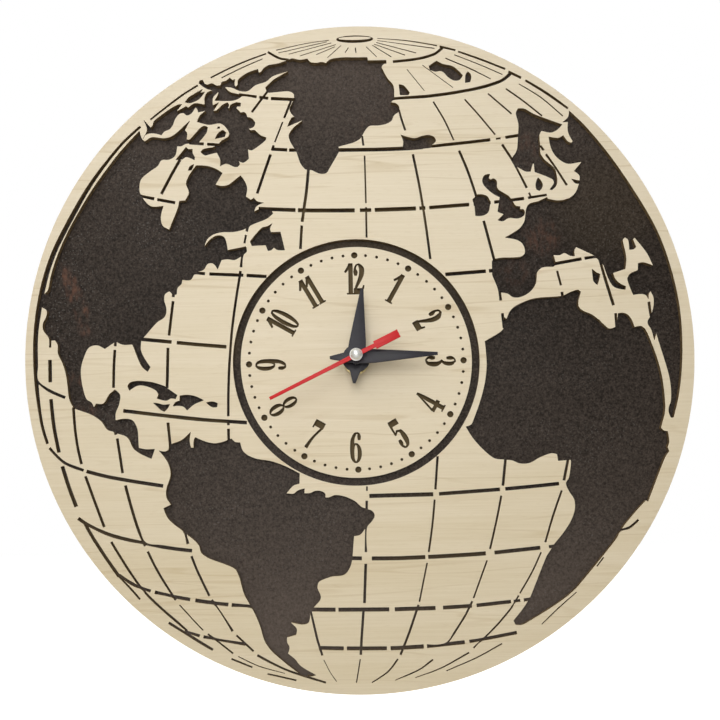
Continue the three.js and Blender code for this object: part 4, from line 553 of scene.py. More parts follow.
@dataclass(frozen=True)
class CellSleeve(Finish):
    """Sleeve of a dry cell, with a metallic band at its raised end and no print."""

    name: str = "cell_sleeve"
    body: Colour = tint(44, 58, 54)
    worn: Colour = tint(62, 76, 70)
    band: Colour = tint(186, 150, 92)
    band_from: float = 14.6 * MM  # where the band begins, along the cell from its middle
    band_edge: float = 0.2 * MM

    def build(self) -> bpy.types.Material:
        """Makes the sleeve with its band.

        Returns:
            The material.
        """
        graph = Graph(self.name)
        scuffs = graph.noise((1.2, 6, 6), 3)
        band = graph.along("X").rise(self.band_from, self.band_from + self.band_edge)
        body = graph.mix(scuffs.rise(0.4, 0.75), self.body, self.worn)
        graph.set(
            Base_Color=graph.mix(band, body, self.band),
            Metallic=band * 0.8,
            Roughness=scuffs * 0.25 + 0.2,
            Coat_Weight=0.3,
        )
        graph.bump(scuffs, 0.01, 0.2)
        return graph.material


MAPLE = MapleVeneer()
BOARD = DarkBoard()
BLACK_PAINT = SatinPaint("blue_black_paint", tint(27, 25, 31), tint(43, 41, 49), 0.46)
RED_PAINT = SatinPaint("red_paint", tint(196, 15, 19), tint(212, 29, 32), 0.48)
CHROME = TurnedMetal("bright_chrome", tint(250, 250, 247), tint(242, 242, 237), 0.4, 0.4, 0.6)
BRASS = TurnedMetal("turned_brass", tint(222, 206, 152), tint(182, 162, 108), 0.34)
STEEL = TurnedMetal("spring_steel", tint(206, 208, 210), tint(158, 160, 164), 0.3)
BLACK_PLASTIC = MouldedPlastic("black_case_plastic", tint(30, 30, 32), tint(44, 44, 46))
RUBBED_PLASTIC = MouldedPlastic("rubbed_case_plastic", tint(96, 96, 97), tint(70, 70, 72), 0.5, 0.42)
WHITE_PLASTIC = MouldedPlastic("white_knob_plastic", tint(232, 230, 222), tint(216, 212, 202), 0.8, 0.45, 0.2)
RUBBER = MouldedPlastic("gasket_rubber", tint(24, 24, 24), tint(36, 35, 34), 0.3, 0.85, 0.6)
SLEEVE = CellSleeve()


def link(name: str, data: bpy.types.ID) -> bpy.types.Object:
    """Puts an object into the scene.

    Args:
        name: The object's name.
        data: Its mesh, light or camera.

    Returns:
        The object, at the origin.
    """
    made = bpy.data.objects.new(name, data)
    bpy.context.scene.collection.objects.link(made)
    return made


def show(name: str, mesh: bpy.types.Mesh, crease: float = CREASE) -> bpy.types.Object:
    """Puts a mesh into the scene, shaded smooth but for its creases.

    Args:
        name: The piece's name.
        mesh: Its mesh, with its material.
        crease: Edges sharper than this many degrees stay sharp.

    Returns:
        The object, at the origin with its place in its mesh.
    """
    mesh.shade_smooth()
    mesh.set_sharp_from_angle(angle=math.radians(crease))
    return link(name, mesh)


def mesh_piece(
    name: str, work: bmesh.types.BMesh, finish: Finish, crease: float = CREASE
) -> bpy.types.Object:
    """Turns worked geometry into a piece of the scene.

    Args:
        name: The piece's name.
        work: Its geometry, which is freed.
        finish: Its finish.
        crease: Edges sharper than this many degrees stay sharp.

    Returns:
        The piece.
    """
    mesh = bpy.data.meshes.new(name)
    work.to_mesh(mesh)
    work.free()
    mesh.materials.append(finish.material())
    return show(name, mesh, crease)


def welded(node: str) -> bmesh.types.BMesh:
    """Copies a node's mesh, with the corners that lie together made one.

    Args:
        node: The node.

    Returns:
        The copy.
    """
    work = bmesh.new()
    work.from_mesh(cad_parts[node].data)
    bmesh.ops.remove_doubles(work, verts=work.verts, dist=WELD)
    return work


def merged(node: str) -> bmesh.types.BMesh:
    """Copies a node's mesh, with its flat faces made whole.

    Args:
        node: The node.

    Returns:
        The copy.
    """
    work = welded(node)
    bmesh.ops.dissolve_limit(
        work, angle_limit=math.radians(1), verts=work.verts, edges=work.edges, use_dissolve_boundaries=False
    )
    return work


def soften(work: bmesh.types.BMesh, width: float, angle: float = 30.0) -> None:
    """Rounds the sharp edges of worked geometry.

    Args:
        work: The geometry.
        width: Width of the rounding, in metres.
        angle: Edges sharper than this many degrees are rounded.
    """
    sharp = [e for e in work.edges if len(e.link_faces) == 2 and e.calc_face_angle() > math.radians(angle)]
    bmesh.ops.bevel(
        work, geom=sharp, offset=width, offset_type="OFFSET", segments=2, profile=0.5,
        affect="EDGES", clamp_overlap=True,
    )


def lathe(profile: Profile, sides: int, centre: Vector = Vector((0, 0, 0))) -> bmesh.types.BMesh:
    """Turns a body about a line along Y.

    Args:
        profile: Corners as radius and Y, both in metres. A radius of 0 closes an end.
        sides: Faces round the body.
        centre: A point that the line goes through.

    Returns:
        The closed geometry.
    """
    work = bmesh.new()
    angles = [2 * math.pi * k / sides for k in range(sides)]
    rings = []
    for radius, y in profile:
        if radius == 0:
            rings.append([work.verts.new(centre + Vector((0, y, 0)))] * sides)
        else:
            round_y = [Vector((radius * math.cos(a), y, radius * math.sin(a))) for a in angles]
            rings.append([work.verts.new(centre + corner) for corner in round_y])
    for lower_shade_and_tone, high in zip(rings, rings[1:]):
        for k in range(sides):
            corners = list(dict.fromkeys([lower_shade_and_tone[k], lower_shade_and_tone[k - 1], high[k - 1], high[k]]))
            if len(corners) > 2:
                work.faces.new(corners)
    bmesh.ops.recalc_face_normals(work, faces=work.faces)
    return work


def place(piece: bpy.types.Object, body: Body, slot: Slot, *nodes: str) -> None:
    """Rides a finished piece on its body and hides the CAD nodes that it replaces.

    Args:
        piece: The piece.
        body: The body that carries it.
        slot: The record's slot that it takes its finish from; not used.
        nodes: The CAD nodes that it replaces.
    """
    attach(piece, body.value)
    if nodes:
        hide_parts(*nodes)
    LOG.info("%s: %d faces, on %s", piece.name, len(piece.data.polygons), body.value)


def dress_node(node: str, finish: Finish) -> None:
    """Gives a CAD node that stays in view its finish.

    Args:
        node: The node.
        finish: The finish.
    """
    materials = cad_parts[node].data.materials
    materials.clear()
    materials.append(finish.material())
    LOG.info("%s: kept, in %s", node, finish.material().name)


class PieceTree(Nodes):
    """A Geometry Nodes tree with named sizes, which makes what repeats on a piece."""

    def __init__(self, name: str, sizes: dict[str, float], finish: Finish) -> None:
        """Starts a tree.

        Args:
            name: The tree's name.
            sizes: Its sizes by name.
            finish: The finish of all that it makes.
        """
        super().__init__(bpy.data.node_groups.new(name, "GeometryNodeTree"))
        self.sizes = sizes
        self.finish = finish
        self.identifiers: dict[str, str] = {}
        sockets = self.tree.interface
        sockets.new_socket("Geometry", in_out="INPUT", socket_type="NodeSocketGeometry")
        for size in sizes:
            socket = sockets.new_socket(size, in_out="INPUT", socket_type="NodeSocketFloat")
            self.identifiers[size] = socket.identifier
        sockets.new_socket("Geometry", in_out="OUTPUT", socket_type="NodeSocketGeometry")
        self.entry = self.tree.nodes.new("NodeGroupInput")

    def given(self, name: str) -> Value:
        """What enters the tree under a name: its geometry or a size."""
        return Value(self, self.entry.outputs[name])

    def ring(self, count: int, radius: str) -> Value:
        """A flat ring of points, by the name of its radius."""
        return self.node("GeometryNodeMeshCircle", {"Vertices": count, "Radius": self.given(radius)})

    def cylinder(self, sides: int, radius: str, depth: str) -> Value:
        """A cylinder along Z, by the names of its radius and depth."""
        sizes = {"Vertices": sides, "Radius": self.given(radius), "Depth": self.given(depth)}
        return self.node("GeometryNodeMeshCylinder", sizes)

    def stand(self, flat: Value, turn: Size = UPRIGHT, **middle: str) -> Value:
        """Stands up what lies flat.

        Args:
            flat: The geometry, made about the origin.
            turn: How it is turned.
            middle: By axis, the name of the size that says where its middle comes to lie.

        Returns:
            The geometry in its place.
        """
        spot = self.node("ShaderNodeCombineXYZ", {axis: self.given(size) for axis, size in middle.items()})
        return self.node("GeometryNodeTransform", {"Geometry": flat, "Translation": spot, "Rotation": turn})

    def set_on(self, points: Value, thing: Value, **more: Value) -> Value:
        """Sets a thing on the points, turned to face along Y."""
        parts = {"Points": points, "Instance": thing, "Rotation": UPRIGHT, **more}
        return self.node("GeometryNodeInstanceOnPoints", parts)

    def apply(self, result: Value, name: str, carrier: bpy.types.Object | None = None) -> bpy.types.Object:
        """Ends the tree, runs it and keeps the plain mesh that it makes.

        Args:
            result: The geometry at the end of the tree.
            name: Name of the finished piece.
            carrier: The object whose geometry enters the tree, which is removed; an empty one if none.

        Returns:
            The finished piece.
        """
        carrier = carrier or link(f"{name}_carrier", bpy.data.meshes.new(f"{name}_carrier"))
        real = self.node("GeometryNodeRealizeInstances", {0: result})
        dressed = self.node("GeometryNodeSetMaterial", {0: real, "Material": self.finish.material()})
        self.feed(self.tree.nodes.new("NodeGroupOutput").inputs[0], dressed)
        modifier = carrier.modifiers.new(self.tree.name, "NODES")
        modifier.node_group = self.tree
        for size, value in self.sizes.items():
            modifier[self.identifiers[size]] = value
        ready = carrier.evaluated_get(bpy.context.evaluated_depsgraph_get())
        mesh = bpy.data.meshes.new_from_object(ready)
        mesh.name = name
        carrier.modifiers.remove(modifier)
        bpy.data.objects.remove(carrier)
        return show(name, mesh)


@dataclass
class FretPlate:
    """A thin wooden layer that follows its CAD node, with the coasts drawn as smooth curves.

    Outlines run with the wood on their left, so outer edges and cuts go round in opposite ways.
    """

    node: str
    name: str
    step: float = 0.9 * MM  # longest straight reach on a curve
    corner: float = math.radians(58)  # sharper turns than this stay corners
    pull: float = 2.0  # a curve reaches no further than this many lengths of the reach beside it
    most: int = 7  # pieces that one reach is split into at most
    kerf: float = 0.12 * MM  # the beam opens a wide cut by this much on either side
    closed: float = 0.08 * MM  # and leaves the finest narrower by this much
    evens: float = 0.85 * MM  # width of a cut that it leaves as it is
    gain: float = 0.4  # how fast one goes over into the other
    blunt: float = math.radians(45)  # a sharp tip is blunted in turns of about this much
    stretch: float = 2.0  # a corner moves at most this many times as far as the walls beside it
    bridge: float = 0.6 * MM  # least wood that is drawn between two points that face each other
    facing: float = 0.3  # cosine of the widest angle at which they still do
    forward: float = -0.9  # a front face has a normal whose Y is below this
    snap: float = 1e-5  # points nearer than this many millimetres become one

    def build(self) -> bpy.types.Object:
        """Makes the plate from the outlines of the node's front face.

        Returns:
            The plate, dressed in veneer.
        """
        lower_shade_and_tone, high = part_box(self.node)
        loops = self._outlines()
        if self.bridge:
            loops = self._bridged(loops)
        flat = self._fill([self._eased(self._opened(loop)) for loop in loops])
        self._thicken(flat, lower_shade_and_tone.y, high.y)
        return mesh_piece(self.name, flat, MAPLE)

    def _outlines(self) -> list[Loop]:
        """Finds the closed outlines of the node's front face.

        Returns:
            The outlines, as points in X and Z.
        """
        work = welded(self.node)
        work.verts.index_update()
        onward: dict[int, list[int]] = {}
        for face in work.faces:
            if face.normal.y > self.forward:
                continue
            for side in face.loops:
                other = next((f for f in side.edge.link_faces if f is not face), None)
                if other is None or other.normal.y > self.forward:
                    onward.setdefault(side.vert.index, []).append(side.link_loop_next.vert.index)
        places = [Vector((v.co.x, v.co.z)) for v in work.verts]
        work.free()
        loops = []
        while onward:
            start = at = next(iter(onward))
            loop: Loop = []
            while not loop or at != start:
                loop.append(places[at])
                ways = onward[at]
                after = ways.pop()
                if not ways:
                    del onward[at]
                at = after
            loops.append(loop)
        return loops

    @staticmethod
    def _runs(loop: Loop) -> list[Vector]:
        """The reaches of a loop, each from its point to the next."""
        return [loop[(i + 1) % len(loop)] - p for i, p in enumerate(loop)]

    def _bridged(self, loops: list[Loop]) -> list[Loop]:
        """Draws facing points apart until a bridge of wood fits between them.

        Args:
            loops: The outlines.

        Returns:
            The outlines with those points moved.
        """
        tips = [tip for loop in loops for tip in zip(loop, self._outward(loop))]
        tree = KDTree(len(tips))
        for k, (p, _) in enumerate(tips):
            tree.insert(p.to_3d(), k)
        tree.balance()
        places = []
        for p, out in tips:
            nearest, move = self.bridge, Vector((0, 0))
            for other, k, gap in tree.find_range(p.to_3d(), self.bridge):
                across = other.to_2d() - p
                if gap < nearest and min(across.dot(out), -across.dot(tips[k][1])) > self.facing * gap:
                    nearest, move = gap, across.normalized() * (gap - self.bridge) / 2
            places.append(p + move)
        ends = iter(places)
        return [[next(ends) for _ in loop] for loop in loops]

    def _outward(self, loop: Loop) -> list[Vector]:
        """Finds the way from a cut into the wood.

        Args:
            loop: The cut's outline.

        Returns:
            The way at each of its points.
        """
        runs = [run.normalized() for run in self._runs(loop)]
        turned = [runs[i - 1] + run for i, run in enumerate(runs)]
        return [Vector((-along.y, along.x)).normalized() for along in turned]

    def _opened(self, loop: Loop) -> Loop:
        """Makes a cut as wide as the beam leaves it, with its sharp tips blunted.

        Args:
            loop: An outline.

        Returns:
            The wider or narrower outline; an outer edge is left as it is.
        """
        runs = self._runs(loop)
        inside = sum(p.y * run.x - p.x * run.y for p, run in zip(loop, runs)) / 2
        if inside < 0:
            return loop
        width = 2 * inside / sum(run.length for run in runs)
        beam = max(-self.closed, min(self.kerf, (width - self.evens) * self.gain))
        points = []
        for i, run in enumerate(runs):
            before = runs[i - 1]
            turn = math.atan2(before.y * run.x - before.x * run.y, before.dot(run))
            heading = math.atan2(before.x, -before.y)
            steps = math.ceil(turn / self.blunt) if beam > 0 and turn > self.corner else 0
            reach = beam if steps else beam * min(self.stretch, 1 / math.cos(turn / 2))
            for k in range(steps + 1):
                way = heading - turn * (k / steps if steps else 0.5)
                points.append(loop[i] + Vector((math.cos(way), math.sin(way))) * reach)
        return points

    def _eased(self, loop: Loop) -> Loop:
        """Draws the gentle turns of an outline as curves and keeps its corners.

        Args:
            loop: The outline.

        Returns:
            The finer outline.
        """
        runs = self._runs(loop)
        points = []
        for i, run in enumerate(runs):
            before, after = runs[i - 1], runs[(i + 1) % len(runs)]
            leave = self._tangent(before, run, before.length, run)
            reach = self._tangent(run, after, after.length, run)
            pieces = max(1, min(self.most, round(run.length / self.step)))
            for k in range(pieces):
                u = k / pieces
                points.append(
                    loop[i]
                    + run * (3 * u**2 - 2 * u**3)
                    + leave * (u**3 - 2 * u**2 + u)
                    + reach * (u**3 - u**2)
                )
        return points

    def _tangent(self, before: Vector, after: Vector, beside: float, run: Vector) -> Vector:
        """How a curve leaves or reaches the point where two reaches meet.

        Args:
            before: The reach up to the point.
            after: The reach from the point on.
            beside: Length of the one of them that isn't drawn now.
            run: The one that is drawn now.

        Returns:
            The direction and pull of the curve there, which is straight at a corner.
        """
        if before.angle(after) > self.corner:
            return run
        blend = before.normalized() * after.length + after.normalized() * before.length
        return blend.normalized() * min(run.length, self.pull * beside)

    def _fill(self, loops: list[Loop]) -> bmesh.types.BMesh:
        """Fills the wood between the outlines.

        Args:
            loops: The outlines.

        Returns:
            The flat sheet, in X and Z.
        """
        points: Loop = []
        edges: list[tuple[int, int]] = []
        for loop in loops:
            start, count = len(points), len(loop)
            points += [p / MM for p in loop]
            edges += [(start + k, start + (k + 1) % count) for k in range(count)]
        spots, sides, faces, _, drawn, _ = delaunay_2d_cdt(points, edges, [], 0, self.snap)
        rounds: dict[tuple[int, int], int] = {}
        for (first, second), sources in zip(sides, drawn):
            run = spots[second] - spots[first]
            ways = [run.dot(points[edges[k][1]] - points[edges[k][0]]) > 0 for k in sources]
            rounds[first, second] = 2 * sum(ways) - len(ways)
            rounds[second, first] = -rounds[first, second]
        sheet = bmesh.new()
        corners = [sheet.verts.new((p.x * MM, 0, p.y * MM)) for p in spots]
        sheet.verts.index_update()
        for face in faces:
            sheet.faces.new([corners[k] for k in face])
        self._open_cuts(sheet, rounds)
        self._drop_crumbs(sheet)
        return sheet

    @staticmethod
    def _open_cuts(sheet: bmesh.types.BMesh, rounds: dict[tuple[int, int], int]) -> None:
        """Takes away the faces that the outlines don't go round, counted inwards from the sheet's rim.

        Args:
            sheet: The sheet, with every face inside its rim.
            rounds: By the two ends of an edge, how many outlines run along it less those that run back.
        """
        rims = [edge.link_loops[0] for edge in sheet.edges if edge.is_boundary]
        turns = {rim.face: rounds[rim.vert.index, rim.link_loop_next.vert.index] for rim in rims}
        fresh = list(turns)
        while fresh:
            face = fresh.pop()
            for side in face.loops:
                inside = turns[face] - rounds[side.vert.index, side.link_loop_next.vert.index]
                for other in side.edge.link_faces:
                    if other not in turns:
                        turns[other] = inside
                        fresh.append(other)
        bmesh.ops.delete(sheet, geom=[f for f in sheet.faces if turns[f] < 1], context="FACES")

    @staticmethod
    def _drop_crumbs(sheet: bmesh.types.BMesh) -> None:
        """Leaves only the largest piece of a sheet from which the cuts have parted crumbs.

        Args:
            sheet: The sheet.
        """
        left, pieces = set(sheet.faces), []
        while left:
            piece = [left.pop()]
            for face in piece:
                near = {other for edge in face.edges for other in edge.link_faces} & left
                left -= near
                piece += near
            pieces.append(piece)
        pieces.sort(key=len)
        bmesh.ops.delete(sheet, geom=[face for piece in pieces[:-1] for face in piece], context="FACES")

    @staticmethod
    def _thicken(sheet: bmesh.types.BMesh, front: float, back: float) -> None:
        """Gives a flat sheet its front, back and walls.

        Args:
            sheet: The sheet.
            front: Where its front lies along Y.
            back: Where its back does.
        """
        fronts = list(sheet.faces)
        rims = [e.link_loops[0] for e in sheet.edges if e.is_boundary]
        rims = [(rim.vert, rim.link_loop_next.vert) for rim in rims]
        twins = {}
        for vert in list(sheet.verts):
            vert.co.y = front
            twins[vert] = sheet.verts.new((vert.co.x, back, vert.co.z))
        for face in fronts:
            sheet.faces.new([twins[v] for v in reversed(face.verts)])
        for first, second in rims:
            sheet.faces.new([second, first, twins[first], twins[second]])
        bmesh.ops.recalc_face_normals(sheet, faces=sheet.faces)


@dataclass
class GlobeMap:
    """The fretwork panel, the dial with its dots and numerals, and the dark board behind them."""

    fine_step: float = 0.45 * MM  # longest straight reach on the dial's curves
    dots_in_turn: int = 60
    dots_per_hour: int = 5
    dot_radius: float = 0.66 * MM
    dot_inset: float = 3.7 * MM
    dot_sides: int = 12
    overcut: float = 1.0 * MM
    board_edge: float = 0.25 * MM
    board_crease: float = 40.0

    def build(self) -> None:
        """Makes the pieces of the face."""
        place(FretPlate("front_panel", "map_panel").build(), Body.CLOCK, Slot.MAPLE, "front_panel")
        dial = FretPlate("dial_disc", "dial_plate", step=self.fine_step).build()
        place(self._with_minute_dots(dial), Body.CLOCK, Slot.MAPLE, "dial_disc")
        for node in self.islands():
            island = FretPlate(node, f"glued_{node}", step=self.fine_step, bridge=0.0).build()
            place(island, Body.CLOCK, Slot.MAPLE, node)
        place(self._board(), Body.CLOCK, Slot.WENGE, "back_board")

    @staticmethod
    def islands() -> list[str]:
        """The nodes that are glued to the board on their own."""
        return [n for n in sorted(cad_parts) if n.startswith("numeral_eye") or n == "pole_island"]

    def _with_minute_dots(self, dial: bpy.types.Object) -> bpy.types.Object:
        """Cuts the minute dots between the hours through the dial.

        Args:
            dial: The plain dial, which is removed.

        Returns:
            The dial with its dots.
        """
        lower_shade_and_tone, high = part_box("dial_disc")
        sizes = {
            "Circle Radius": (high.x - lower_shade_and_tone.x) / 2 - self.dot_inset,
            "Dot Radius": self.dot_radius,
            "Dot Depth": high.y - lower_shade_and_tone.y + 2 * self.overcut,
            "Middle": (lower_shade_and_tone.y + high.y) / 2,
        }
        tree = PieceTree("minute_dots", sizes, MAPLE)
        minutes = tree.stand(tree.ring(self.dots_in_turn, "Circle Radius"), Y="Middle")
        off_hours = tree.node("GeometryNodeInputIndex") % float(self.dots_per_hour)
        dot = tree.cylinder(self.dot_sides, "Dot Radius", "Dot Depth")
        dots = tree.set_on(minutes, dot, Selection=off_hours)
        cutters = tree.node("GeometryNodeRealizeInstances", {0: dots})
        cut = tree.node(
            "GeometryNodeMeshBoolean",
            {"Mesh 1": tree.given("Geometry"), "Mesh 2": cutters},
            operation="DIFFERENCE",
            solver="MANIFOLD",
        )
        return tree.apply(cut, "dial_face", dial)

    def _board(self) -> bpy.types.Object:
        """Makes the board with its edges eased.

        Returns:
            The board.
        """
        work = merged("back_board")
        soften(work, self.board_edge, self.board_crease)
        return mesh_piece("dark_back_board", work, BOARD)


@dataclass(frozen=True)
class Hand:
    """One hand, drawn in outside its hub to be as short and slim as in the photograph."""

    node: str
    name: str
    body: Body
    slot: Slot
    finish: Finish
    hub: float  # how far its hub reaches from the shaft
    reach: float  # share of its length that is left
    width: float  # share of its width that is left
    slims_over: float = 0.5  # share of the hub's reach over which it becomes that slim

    def build(self, edge: float) -> None:
        """Makes the hand.

        Args:
            edge: Width of its eased edges.
        """
        work = merged(self.node)
        self._draw_in(work)
        soften(work, edge)
        place(mesh_piece(self.name, work, self.finish), self.body, self.slot, self.node)

    def _draw_in(self, work: bmesh.types.BMesh) -> None:
        """Makes the hand shorter and slimmer outside its hub.

        Args:
            work: The hand's geometry.
        """
        tip = max((v.co for v in work.verts), key=lambda at: math.hypot(at.x, at.z))
        along = Vector((tip.x, 0, tip.z)).normalized()
        across = Vector((along.z, 0, -along.x))
        for vert in work.verts:
            out, side = vert.co.dot(along), vert.co.dot(across)
            beyond = max(0.0, abs(out) - self.hub)
            slimmer = side * (1 - self.width) * min(1.0, beyond / (self.slims_over * self.hub))
            vert.co -= along * math.copysign(beyond * (1 - self.reach), out) + across * slimmer


@dataclass
class Hands:
    """The three hands, their cap and the shafts that carry them."""

    hands: tuple[Hand, ...] = (
        Hand("hour_hand", "hour_leaf", Body.HOUR, Slot.HAND_BLACK, BLACK_PAINT, 6.1 * MM, 0.93, 0.92),
        Hand("minute_hand", "minute_leaf", Body.MINUTE, Slot.HAND_BLACK, BLACK_PAINT, 3.2 * MM, 0.96, 0.97),
        Hand("second_hand", "second_pointer", Body.SECOND, Slot.HAND_RED, RED_PAINT, 2.0 * MM, 0.96, 1.0),
    )
    edge: float = 0.14 * MM
    cap_sides: int = 48
    cap_crease: float = 50.0
    dome_steps: int = 10
    cap_rim: float = 0.16  # shares of the cap's depth
    cap_groove: float = 0.3
    cap_ball: float = 0.87  # shares of its radius
    cap_neck: float = 0.7
    rim_flat: float = 0.94
    rim_round: float = 0.25  # share of the rim's own depth

    def build(self) -> None:
        """Makes the hands and dresses their shafts."""
        for hand in self.hands:
            hand.build(self.edge)
        place(self._cap(), Body.SECOND, Slot.CHROME, "second_cap")
        dress_node("hour_tube", WHITE_PLASTIC)
        dress_node("minute_tube", BRASS)
        dress_node("second_arbor", STEEL)

    def _cap(self) -> bpy.types.Object:
        """Makes the cap that covers the end of the shafts: a dome over a groove and a flat rim.

        Returns:
            The cap.
        """
        lower_shade_and_tone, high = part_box("second_cap")
        radius = (high.x - lower_shade_and_tone.x) / 2
        depth = high.y - lower_shade_and_tone.y
        rim, groove = high.y - self.cap_rim * depth, high.y - self.cap_groove * depth
        bend = self.rim_round * self.cap_rim * depth
        ball = self.cap_ball * radius
        profile = [
            (0.0, high.y),
            (self.rim_flat * radius, high.y),
            (radius, high.y - bend),
            (radius, rim + bend),
            (self.rim_flat * radius, rim),
            (self.cap_neck * radius, rim),
            (self.cap_neck * radius, groove),
        ]
        for k in range(self.dome_steps):
            angle = k * math.pi / (2 * self.dome_steps)
            profile.append((ball * math.cos(angle), groove + (lower_shade_and_tone.y - groove) * math.sin(angle)))
        profile.append((0.0, lower_shade_and_tone.y))
        return mesh_piece("domed_cap", lathe(profile, self.cap_sides), CHROME, self.cap_crease)


@dataclass
class Fixing:
    """The bushing with its thread, and the nut, washer and gasket on it."""

    thread_pitch: float = 0.75 * MM
    thread_depth: float = 0.3 * MM
    steps_per_turn: int = 40
    ridge_sides: int = 4
    core_sides: int = 48
    edge: float = 0.12 * MM

    def build(self) -> None:
        """Makes the threaded bushing and what sits on it."""
        place(self._bushing(), Body.CLOCK, Slot.BRASS, "threaded_bushing")
        place(self._thread(), Body.CLOCK, Slot.BRASS)
        for node, name, finish, slot in (
            ("hex_nut", "brass_nut", BRASS, Slot.BRASS),
            ("washer", "brass_washer", BRASS, Slot.BRASS),
            ("rubber_gasket", "soft_gasket", RUBBER, Slot.RUBBER),
        ):
            work = merged(node)
            soften(work, self.edge)
            place(mesh_piece(name, work, finish), Body.CLOCK, slot, node)

    def _bore(self) -> float:
        """Radius of the bushing's bore, from the node."""
        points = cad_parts["threaded_bushing"].data.vertices
        return min(math.hypot(v.co.x, v.co.z) for v in points)

    def _core(self) -> float:
        """Radius of the bushing below its thread."""
        lower_shade_and_tone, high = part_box("threaded_bushing")
        return (high.x - lower_shade_and_tone.x) / 2 - self.thread_depth

    def _bushing(self) -> bpy.types.Object:
        """Makes the plain core of the bushing.

        Returns:
            The core.
        """
        lower_shade_and_tone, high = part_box("threaded_bushing")
        bore, core, lip = self._bore(), self._core(), self.thread_depth
        profile = [
            (bore, high.y),
            (core, high.y),
            (core, lower_shade_and_tone.y + lip),
            (core - lip, lower_shade_and_tone.y),
            (bore, lower_shade_and_tone.y),
            (bore, high.y),
        ]
        return mesh_piece("bushing_core", lathe(profile, self.core_sides), BRASS)

    def _thread(self) -> bpy.types.Object:
        """Makes the ridge that winds along the bushing.

        Returns:
            The ridge.
        """
        lower_shade_and_tone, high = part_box("threaded_bushing")
        length = high.y - lower_shade_and_tone.y - 2 * self.thread_pitch
        sizes = {
            "Turns": length / self.thread_pitch,
            "Radius": self._core(),
            "Length": length,
            "Ridge": self.thread_depth,
            "Start": lower_shade_and_tone.y + self.thread_pitch,
        }
        tree = PieceTree("screw_thread", sizes, BRASS)
        coil = tree.node(
            "GeometryNodeCurveSpiral",
            {
                "Resolution": self.steps_per_turn,
                "Rotations": tree.given("Turns"),
                "Start Radius": tree.given("Radius"),
                "End Radius": tree.given("Radius"),
                "Height": tree.given("Length"),
            },
        )
        section = {"Resolution": self.ridge_sides, "Radius": tree.given("Ridge")}
        ridge = tree.node("GeometryNodeCurvePrimitiveCircle", section)
        swept = {"Curve": coil, "Profile Curve": ridge, "Fill Caps": True}
        wound = tree.node("GeometryNodeCurveToMesh", swept)
        laid = tree.stand(wound, (-math.pi / 2, 0.0, 0.0), Y="Start")
        return tree.apply(laid, "bushing_thread")


